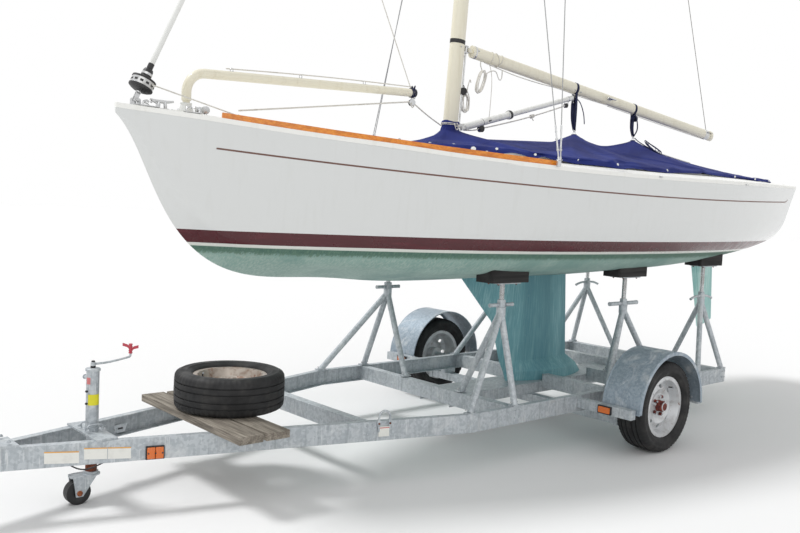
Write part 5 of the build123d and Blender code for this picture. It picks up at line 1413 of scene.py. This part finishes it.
def wheel_fittings(name, centre, axis, body, with_hub):
    """Hub cap, wheel nuts and valve stem; without the hub, thin black discs are painted shade in the empty
    stud holes.
    """
    piece = Piece(name, body, hub_rust, zinc, black_plastic)
    across, up, along = arms(axis)
    nuts = circle((0, 0, 0), across, up, 1, 5)
    if with_hub:
        piece.turned(centre, along, [(0.0355, 0.033), (0.0385, 0.034), (0.0385, 0.04), (0.0362, 0.043),
                                     (0.0362, 0.067), (0.034, 0.073), (0.03, 0.0805), (0.022, 0.0835),
                                     (0, 0.0845)], 40)
    for out in nuts:
        if with_hub:
            at = centre + out * NUT_CIRCLE + along * 0.033
            piece.turned(at, along, [(0.0128, 0), (0.0105, 0.006), (0.0105, 0.0165), (0.0085, 0.0185),
                                     (0, 0.0185)], 6)
            piece.rod(at + along * 0.016, at + along * 0.025, 0.0058, 1, 12)
        else:
            # The spare has no nuts: each thin black disc is painted shade in an empty stud hole.
            piece.turned(centre + out * NUT_CIRCLE + along * 0.0322, along,
                         [(0, 0), (0.0078, 0), (0.0066, 0.0006), (0, 0.0006)], 16, 2)
    out = across * cos(0.9) + up * sin(0.9)
    stem = centre + out * 0.151 + along * 0.044
    piece.rod(stem, stem + along * 0.03 + out * 0.004, 0.0042, 2, 12)
    piece.rod(stem + along * 0.03, stem + along * 0.04, 0.005, 1, 12)
    piece.done()


wheel_fittings("port_wheel_fittings", WHEEL_AT, Y, "port_wheel", True)
wheel_fittings("stbd_wheel_fittings", WHEEL_AT * FAR, -Y, "stbd_wheel", True)
wheel_fittings("spare_wheel_fittings", SPARE_AT, Z, BOAT, False)

# Fenders: rolled lips and carriage bolts
FENDER_RADIUS, FENDER_OUT, FENDER_IN = 0.38, 1.226, 0.932
LIP_RADIUS = FENDER_RADIUS - 0.004
lips = Piece("fender_lips", BOAT, fender_zinc, zinc)
for side in SIDES:
    for y in (FENDER_OUT - 0.0065, FENDER_IN + 0.006):
        lips.tube([(WHEEL_AT.x + LIP_RADIUS * cos(pi * k / 48), side * y,
                    WHEEL_AT.z + LIP_RADIUS * sin(pi * k / 48)) for k in range(49)], 0.0058, sides=10)
    for end in (1, -1):
        x = WHEEL_AT.x + FENDER_RADIUS * end
        lips.rod((x, side * 0.94, WHEEL_AT.z), (x, side * (FENDER_OUT - 0.004), WHEEL_AT.z), 0.006, steps=12)
    for end in (1, -1):
        for y in (0.985, 1.15):
            lips.bolt((WHEEL_AT.x + LIP_RADIUS * end, side * y, WHEEL_AT.z + 0.022), X * -end, 0.009, 1)
lips.done()

# Lamps: bezels, amber tongue markers, red lamps at the stern
lamps = Piece("lamp_bezels", BOAT, black_plastic, amber, red_lens, zinc)


def bezel(centre, out, along, wide, high, border, deep, kind=0):
    """Four bars round a lens."""
    centre, out, along = Vector(centre), Vector(out).normalized(), Vector(along).normalized()
    rise = out.cross(along)
    for sign in (1, -1):
        for way, size in ((rise * (high + border), (wide + 2 * border, border, deep)),
                          (along * (wide + border), (border, high, deep))):
            lamps.block(centre + way * (sign / 2), size, kind, along, out, 0.0015)


for side in SIDES:
    bezel((WHEEL_AT.x + 0.438 + 0.008, side * 1.0, WHEEL_AT.z), X, Y, 0.09, 0.04, 0.007, 0.014)
tongue_out = Vector((RAIL_OUT, TONGUE_X - BEND_X, 0)).normalized()
tongue_along = Vector((TONGUE_X - BEND_X, -RAIL_OUT, 0)).normalized()
MARKER_PIXELS = ((146.5, 452), (163, 452), (155, 446.5), (155, 458))    # its left, right, top and bottom
left, right, top, bottom = seen_on(rail_tree, MARKER_PIXELS)
middle, long, tall = (top + bottom) / 2, (left - right).length, (top - bottom).length
for side in SIDES:
    flip = Vector((1, side, 1))
    at, out, along = middle * flip, tongue_out * flip, tongue_along * flip
    lamps.block(at + out * 0.004, (long + 0.012, tall + 0.01, 0.01), 0, along, out, 0.003)
    for end in (1, -1):
        lamps.block(at + out * 0.012 + along * long * 0.255 * end, (long * 0.49, tall, 0.014), 1, along,
                    out, 0.005, 3)
    for shift in (-0.42, 0, 0.42):
        lamps.turned(at + out * 0.0185 + along * long * shift, out,
                     [(0, 0), (0.0045, 0), (0.004, 0.0012), (0, 0.0012)], 14)
for side in SIDES:
    at = Vector((-2.262, side * 0.6, 0.304))
    lamps.block(at - X * 0.012, (0.17, 0.09, 0.024), 0, Y, -X, 0.006, 3)
    lamps.block(at - Vector((0.03, 0.016, 0)), (0.12, 0.072, 0.016), 2, Y, -X, 0.006, 3)
    lamps.block(at - Vector((0.03, -0.062, 0)), (0.03, 0.072, 0.016), 1, Y, -X, 0.005, 3)
lamps.block((-2.263, 0, 0.304), (0.24, 0.09, 0.004), 3, Y, -X, 0.0015)
lamps.done()

labels = Piece("blank_labels", BOAT, label_white, label_edge)
LABEL_PIXELS = ((44, 452, 79, 464), (84, 448, 107.3, 459.5), (107.9, 447.4, 131, 458.9))
for left, top, right, bottom in LABEL_PIXELS:
    slope = (right - left) * 0.026
    a, b, c, d = seen_on(rail_tree, ((left, bottom), (right, bottom - slope), (right, top - slope),
                                     (left, top)))
    labels.label((a, b, c, d), 0.0003, 0, tree=rail_tree, count=4)
    labels.label((d.lerp(a, 0.1), c.lerp(b, 0.1), c, d), 0.0011, 1, tree=rail_tree, count=4)
labels.done()

# Hull stands: threads, hexagon nuts, foot bolts and plate bolts
STANDS = ((0.300, 0.560, 0.960, ((0.745, 0.745), (0.340, 0.745), (0.340, 0.280))),
          (-1.000, 0.600, 0.920, ((-0.640, 0.745), (-1.250, 0.745), (-1.250, 0.330))),
          (-2.150, 0.575, 0.930, ((-1.860, 0.745), (-2.228, 0.745), (-2.228, 0.290))))
# reach to each side, thickness and droop of the handles
HANDLES = {0.300: (0.105, 0.0125, 0.0), -1.000: (0.168, 0.0145, 0.0), -2.150: (0.160, 0.0095, 0.022)}
screw_tree = tree_of("stand_screws")
stand_parts = Piece("stand_fittings", BOAT, zinc, stainless, rusted)
THREAD = 0.006
for x, y, z, feet in STANDS:
    for side in SIDES:
        apex = Vector((x, side * y, z))
        plate = screw_tree.ray_cast(apex + Vector((0.05, 0, 0.03)), Z)[0]
        top = plate.z
        profile = [(0.0148, 0.0)]
        for k in range(int((top - z - 0.045) / THREAD)):
            profile += [(0.0152, THREAD * k), (0.0168, THREAD * (k + 0.3)), (0.0168, THREAD * (k + 0.6)),
                        (0.0152, THREAD * (k + 0.9))]
        stand_parts.turned(apex + Z * 0.04, Z, profile, 20, 1)
        stand_parts.turned(apex + Z * 0.0255, Z,
                           [(0.024, 0), (0.0285, 0.002), (0.0285, 0.018), (0.026, 0.021), (0.0152, 0.021)], 6)
        stand_parts.turned(apex - Z * 0.002, Z, [(0.0295, -0.004), (0.0325, -0.003), (0.0325, 0.001),
                                                 (0.0295, 0.002)], 32)
        half, thick, droop = HANDLES[x]
        for end in (1, -1):
            sleeve = smooth_path([apex + Vector((end * (0.035 + (half - 0.035) * t), 0,
                                                 0.013 - droop * t * t)) for t in (0, 0.4, 0.75, 1)], 5)
            stand_parts.tube(sleeve, thick, 0, 16)
            out = (sleeve[-1] - sleeve[-2]).normalized()
            stand_parts.turned(sleeve[-1], out, [(thick * 0.6, 0), (thick, 0), (thick + 0.0012, 0.001),
                                                 (thick + 0.0012, 0.004), (thick * 0.72, 0.0045),
                                                 (thick * 0.66, 0.0012), (0, 0.0011)], 18)
        for dx in (0.085, -0.085):
            for dy in (0.042, -0.042):
                at = screw_tree.ray_cast(Vector((x + dx, side * y + dy, z + 0.03)), Z)[0]
                stand_parts.bolt(at, DOWN, 0.0085, 2)
        for foot_x, foot_y in feet:
            for dx in (0.0275, -0.0275):
                stand_parts.bolt((foot_x + dx, side * foot_y, RAIL_TOP + 0.0082), Z, 0.0068, 1)
stand_parts.done()

# Bolts of the cross members, the outriggers and the axle's brackets
frame_bolts = Piece("frame_bolts", BOAT, zinc, rusted)
for x, kinds in ((1.380, 0), (0.340, 0), (-0.700, 1), (-1.250, 0), (-1.760, 0), (-2.228, 0)):
    for side in SIDES:
        for dx, z in ((0.017, 0.34), (-0.017, 0.34), (0.017, 0.292), (-0.017, 0.292)):
            at, out = from_side(rail_tree, x + dx, z, side, CLEAR_OF_SIDE)
            if at is not None:
                frame_bolts.bolt(at, out, 0.0078, kinds if z > 0.3 else 0)
for x in (-0.303, -1.121):
    for side in SIDES:
        for dx in (0.015, -0.015):
            for y in (0.83, 0.9):
                frame_bolts.bolt((x + dx * 0.9, side * y, 0.34 if x > -0.5 else 0.329), Z, 0.0072)
for side in SIDES:
    for dx in (0.045, -0.045):
        frame_bolts.bolt((-0.565 + dx, side * RAIL_OUT, 0.245), Y * side, 0.0085, 1)
frame_bolts.done()

# Weld beads on the cross members and at the tongue's bend
seams = Piece("frame_welds", BOAT, zinc)
for x in (0.340 - 0.032, -1.760 + 0.032):
    for side in SIDES:
        bead = [Vector((x, side * (0.012 + 0.136 * t / 20), RAIL_TOP - 0.0815 + 0.0008 * sin(2.1 * t)))
                for t in range(21)]
        seams.tube(bead, [0.0042 + 0.0007 * sin(1.9 * t) for t in range(21)])
for side in SIDES:
    bead = [Vector((BEND_X + 0.0006 * sin(2.3 * t), side * (RAIL_OUT + 0.0004),
                    RAIL_TOP - 0.004 - 0.104 * t / 26)) for t in range(27)]
    seams.tube(bead, [0.0034 + 0.0006 * sin(1.7 * t) for t in range(27)])
seams.done()

# Tongue jack: cap, pin, crank with its taped grip, tags, clamp bands and U bolts
JACK = X * 2.737
JACK_TOP = 0.688
jack = Piece("jack_fittings", BOAT, zinc, black_plastic, label_yellow, label_pink, grip_red, rusted)
jack.turned(JACK + Z * (JACK_TOP - 0.011), Z, [(0.0335, 0), (0.0372, 0.001), (0.0372, 0.011),
                                               (0.034, 0.014), (0.0085, 0.0155)], 40)
jack.turned(JACK + Z * (JACK_TOP + 0.004), Z, [(0.0082, 0), (0.0128, 0.0005), (0.0128, 0.01),
                                               (0.0095, 0.014), (0.0092, 0.034), (0.007, 0.037),
                                               (0, 0.037)], 24, 1)
arm = [JACK + Vector((x, y, JACK_TOP + rise)) for x, y, rise in
       ((0, 0, 0.024), (-0.03, -0.004, 0.023), (-0.09, -0.013, 0.024), (-0.19, -0.027, 0.036),
        (-0.207, -0.0295, 0.041), (-0.2115, -0.030, 0.052), (-0.211, -0.030, 0.075), (-0.210, -0.030, 0.098))]
jack.cord(arm, 0.0058, sides=12)
jack.turned(JACK + Z * (JACK_TOP + 0.014), Z, [(0.009, 0), (0.0125, 0.001), (0.0125, 0.018),
                                               (0.009, 0.0195)], 24)
grip = JACK + Vector((-0.211, -0.030, JACK_TOP + 0.056))
jack.turned(grip, Z,
            [(0.0058, -0.001)] + [(0.0092 + 0.0018 * sin(tau * k / 4.3) + 0.0006 * sin(tau * k / 1.7),
                                   0.0026 * k) for k in range(20)] + [(0.008, 0.0515), (0, 0.052)], 28, 4)
for turned_way, rise in ((2.45, 0.034), (-0.55, 0.044)):
    out = level_arm(turned_way)
    ribbon = smooth_path([grip + out * reach + Z * (rise + lift) for reach, lift in
                          ((0.006, -0.012), (0.018, -0.004), (0.030, 0), (0.041, 0.003))], 5)
    strap(jack, ribbon, Z, 0.016, 0.0016, 4)
jack.bolt(JACK + Vector((0, -0.1005, JACK_TOP - 0.06)), -Y, 0.0125)
jack.turned(JACK + Vector((0, -0.034, JACK_TOP - 0.06)), -Y,
            [(0.0082, 0), (0.013, 0.001), (0.013, 0.012), (0.0082, 0.013)], 20)
JACK_SIDE = 0.032


def wrapped(piece, low, high, middle, reach, kind, proud=0.0012):
    """A label wrapped round the jack's tube."""
    rows = []
    for k in range(17):
        out = level_arm(middle + reach * (k / 16 - 0.5))
        inner, outer = JACK + out * JACK_SIDE, JACK + out * (JACK_SIDE + proud)
        rows.append([inner + Z * low, outer + Z * low, outer + Z * high, inner + Z * high])
    piece.grid(rows, kind, wrap=True, flip=True)


view_angle = atan2(CAMERA_AT.y - JACK.y, CAMERA_AT.x - JACK.x)
wrapped(jack, 0.5045, 0.56, view_angle + 0.25, 1.9, 2)
wrapped(jack, 0.612, 0.646, view_angle - 0.72, 0.72, 3, 0.0008)
for high in (0.575, 0.512):
    out = level_arm(view_angle - 0.95)
    jack.block(JACK + out * (JACK_SIDE + 0.003) + Z * high, (0.012, 0.01, 0.012), 1, Z.cross(out), out)
for low, high in ((0.3818, 0.392), (0.222, 0.232)):
    jack.turned(JACK + Z * low, Z, [(0.0318, 0), (0.0365, 0.0008), (0.0365, high - low - 0.0008),
                                    (0.0318, high - low)], 40)
for x in (0.042, -0.042):
    for y in (0.06, -0.06):
        jack.bolt(JACK + Vector((x, y, RAIL_TOP + 0.0102)), Z, 0.009)
for y in (0.042, -0.042):
    jack.cord([JACK + Vector((x, y, RAIL_TOP + rise)) for x, rise in
               ((-0.036, 0.004), (-0.037, 0.03), (0, 0.037), (0.037, 0.03), (0.036, 0.004))], 0.0042, steps=5)
jack.done()

LEG_COLLAR = 0.1505
leg_parts = Piece("jack_leg_collar", "jack_leg", zinc)
leg_parts.turned(JACK + Z * LEG_COLLAR, Z, [(0.0286, 0), (0.0312, 0.001), (0.0318, 0.004), (0.0312, 0.009),
                                            (0.0286, 0.0105)], 36)
leg_parts.done()

fork_parts = Piece("caster_fittings", "caster_fork", zinc, rusted)
AXLE_PIN = JACK + Vector((0.070, 0, 0.062))
for side in SIDES:
    fork_parts.bolt(AXLE_PIN + Y * side * 0.0372, Y * side, 0.0145, 1)
fork_parts.turned(JACK + Z * 0.1425, Z, [(0.0362, 0), (0.0385, 0.001), (0.0385, 0.006), (0.0362, 0.007)], 36)
fork_parts.done()

roller = Piece("caster_tread", "caster_wheel", black_plastic, zinc)
for side in SIDES:
    roller.turned(AXLE_PIN + Y * side * 0.0238, Y * side,
                  [(0.0088, 0), (0.02, 0.0004), (0.022, 0.0016), (0.044, 0.0003), (0.05, 0.0012),
                   (0.056, 0.0002)], 40)
roller.done()

# Coupler: latch lever, clamp bolts, safety pin and ball cup's rim
coupling = Piece("coupler_fittings", BOAT, zinc, stainless, black_plastic, rusted)
for x in (3.16, 3.23):
    half = 0.088 - (x - 3.12) * 0.064 / 0.28 - 0.02
    for side in SIDES:
        coupling.bolt((x, side * half, RAIL_TOP + 0.0122), Z, 0.0105)
for x in (3.34, 3.46):
    for side in SIDES:
        coupling.bolt((x, side * 0.028, RAIL_TOP + 0.03), Y * side, 0.009, 3)
coupling.turned((3.548, 0, RAIL_TOP + 0.0005), Z, [(0.0415, 0), (0.0448, 0.001), (0.0448, 0.006),
                                                   (0.0415, 0.0075)], 44)
coupling.cord([(3.38, 0, 0.4385), (3.345, 0, 0.4555), (3.3, 0, 0.4735), (3.27, 0, 0.486),
               (3.246, 0, 0.4845)], 0.0115, 2, sides=14)
coupling.ring((3.372, 0.012, 0.447), X, Z, 0.013, 0.002, 1, 16)
coupling.rod((3.372, -0.016, 0.447), (3.372, 0.02, 0.447), 0.0035, 1, 10)
coupling.done()

# Loops on the tongue: base plates, nuts and the blank white tag of the near one
tags = Piece("loop_fittings", BOAT, zinc, label_white, label_pink, rusted)
LOOP_X, LOOP_Z = 1.300, 0.335
for side in SIDES:
    hit, out = from_side(rail_tree, LOOP_X, LOOP_Z, side, CLEAR_OF_SIDE)
    along = Z.cross(out).normalized()
    for end in (1, -1):
        foot = hit + along * 0.034 * end
        tags.block(foot + out * 0.0065 + Z * 0.018, (0.02, 0.03, 0.014), 0, along, out, 0.002)
        tags.bolt(foot + out * 0.0135 + Z * 0.014, out, 0.0062, 3)
    if side == PORT:
        for low, high, kind in ((-0.062, -0.004, 1), (-0.014, -0.0085, 2)):
            lift = 0.0102 if kind == 1 else 0.0112
            tags.block(hit + Z * ((low + high) / 2) + out * lift / 2, (0.066, high - low, lift), kind,
                       along, out, 0.0012)
tags.done()


# Trailer cable at the tongue
def tongue_inside(x, side, z, gap=0.0):
    """A point on the inner face of the tongue's rail."""
    hit = rail_tree.ray_cast(Vector((x, 0, z)), Y * side)[0]
    return hit - Y * side * gap


cable = [tongue_inside(2.45, PORT, 0.345, 0.008), tongue_inside(2.55, PORT, 0.33, 0.008),
         tongue_inside(2.68, PORT, 0.28, 0.02), (2.76, 0.12, 0.215), (2.82, 0.085, 0.195),
         (2.885, 0.07, 0.235), tongue_inside(2.95, PORT, 0.3, 0.012), tongue_inside(3.1, PORT, 0.325, 0.01),
         tongue_inside(3.2, PORT, 0.33, 0.01)]
free_cord("trailer_cable", cable, 0.007, black_plastic)

# Slotted bracket on the inner side of the far tongue rail, where the photograph shows it
bracket = Piece("rail_bracket", BOAT, zinc, black_plastic)
face = tongue_inside(2.5, STBD, 0.33)
BRACKET_PIXELS = ((100.5, 437.5), (124.6, 431.0), (127.5, 422.5), (98.5, 429.0))
rays = [pixel_ray(*pixel) for pixel in BRACKET_PIXELS]
corners = [CAMERA_AT + ray * ((face - CAMERA_AT).dot(tongue_out) / ray.dot(tongue_out)) for ray in rays]
bracket.label(corners, 0.0004, 0, 0.004, 4)
mid_left, mid_right = corners[0].lerp(corners[3], 0.5), corners[1].lerp(corners[2], 0.5)
# The slots are thin black plates, painted shade where the bracket is open.
for share in (0.18, 0.46, 0.78):
    bracket.block(mid_left.lerp(mid_right, share) + tongue_out * 0.0046, (0.026, 0.009, 0.0012), 1,
                  mid_right - mid_left, tongue_out, 0.0004, 1)
for share in (0.32, 0.64):
    bracket.bolt(mid_left.lerp(mid_right, share) + tongue_out * 0.0044, tongue_out, 0.007)
bracket.done()

# Floor, backdrop and soft light
FLOOR = 60               # half its width
floor_mesh = bpy.data.meshes.new("floor")
floor_mesh.from_pydata([(-FLOOR, -FLOOR, 0), (FLOOR, -FLOOR, 0), (FLOOR, FLOOR, 0), (-FLOOR, FLOOR, 0)], [],
                       [(0, 1, 2, 3)])
floor_mesh.materials.append(Shade("floor_paint", rgb(240, 240, 240), 0.9).material)
new_object("floor", floor_mesh)

world = bpy.data.worlds.new("studio")
bpy.context.scene.world = world
world.use_nodes = True
world.node_tree.nodes.clear()
SKY_LIGHT, SKY_SEEN = 0.62, 1.0


def sky_node(kind, *inputs):
    """A node of the sky, fed by other nodes' outputs or by plain values."""
    node = world.node_tree.nodes.new("ShaderNode" + kind)
    if kind == "Math":
        node.operation = "MAXIMUM"
    for socket, value in inputs:
        if isinstance(value, bpy.types.NodeSocket):
            world.node_tree.links.new(value, node.inputs[socket])
        else:
            node.inputs[socket].default_value = value
    return node.outputs


rays = sky_node("LightPath")
seen = sky_node("Math", (0, rays["Is Camera Ray"]), (1, rays["Is Glossy Ray"]))[0]
seen = sky_node("Math", (0, seen), (1, rays["Is Transmission Ray"]))[0]
strength = sky_node("MapRange", ("Value", seen), ("To Min", SKY_LIGHT), ("To Max", SKY_SEEN))[0]
sky = sky_node("Background", ("Color", (1, 1, 1, 1)), ("Strength", strength))[0]
sky_node("OutputWorld", (0, sky))

# Daylight from high behind the bow on the far side, as in the picture, and a soft fill
for name, energy, spread, toward in (("sun", 1.7, 14, (-0.35, 0.5, -1.0)),
                                     ("fill", 0.5, 60, (-0.9, -1.0, -0.5))):
    light = bpy.data.lights.new(name, "SUN")
    light.energy, light.angle = energy, radians(spread)
    new_object(name, light).rotation_euler = Vector(toward).to_track_quat("-Z", "Y").to_euler()
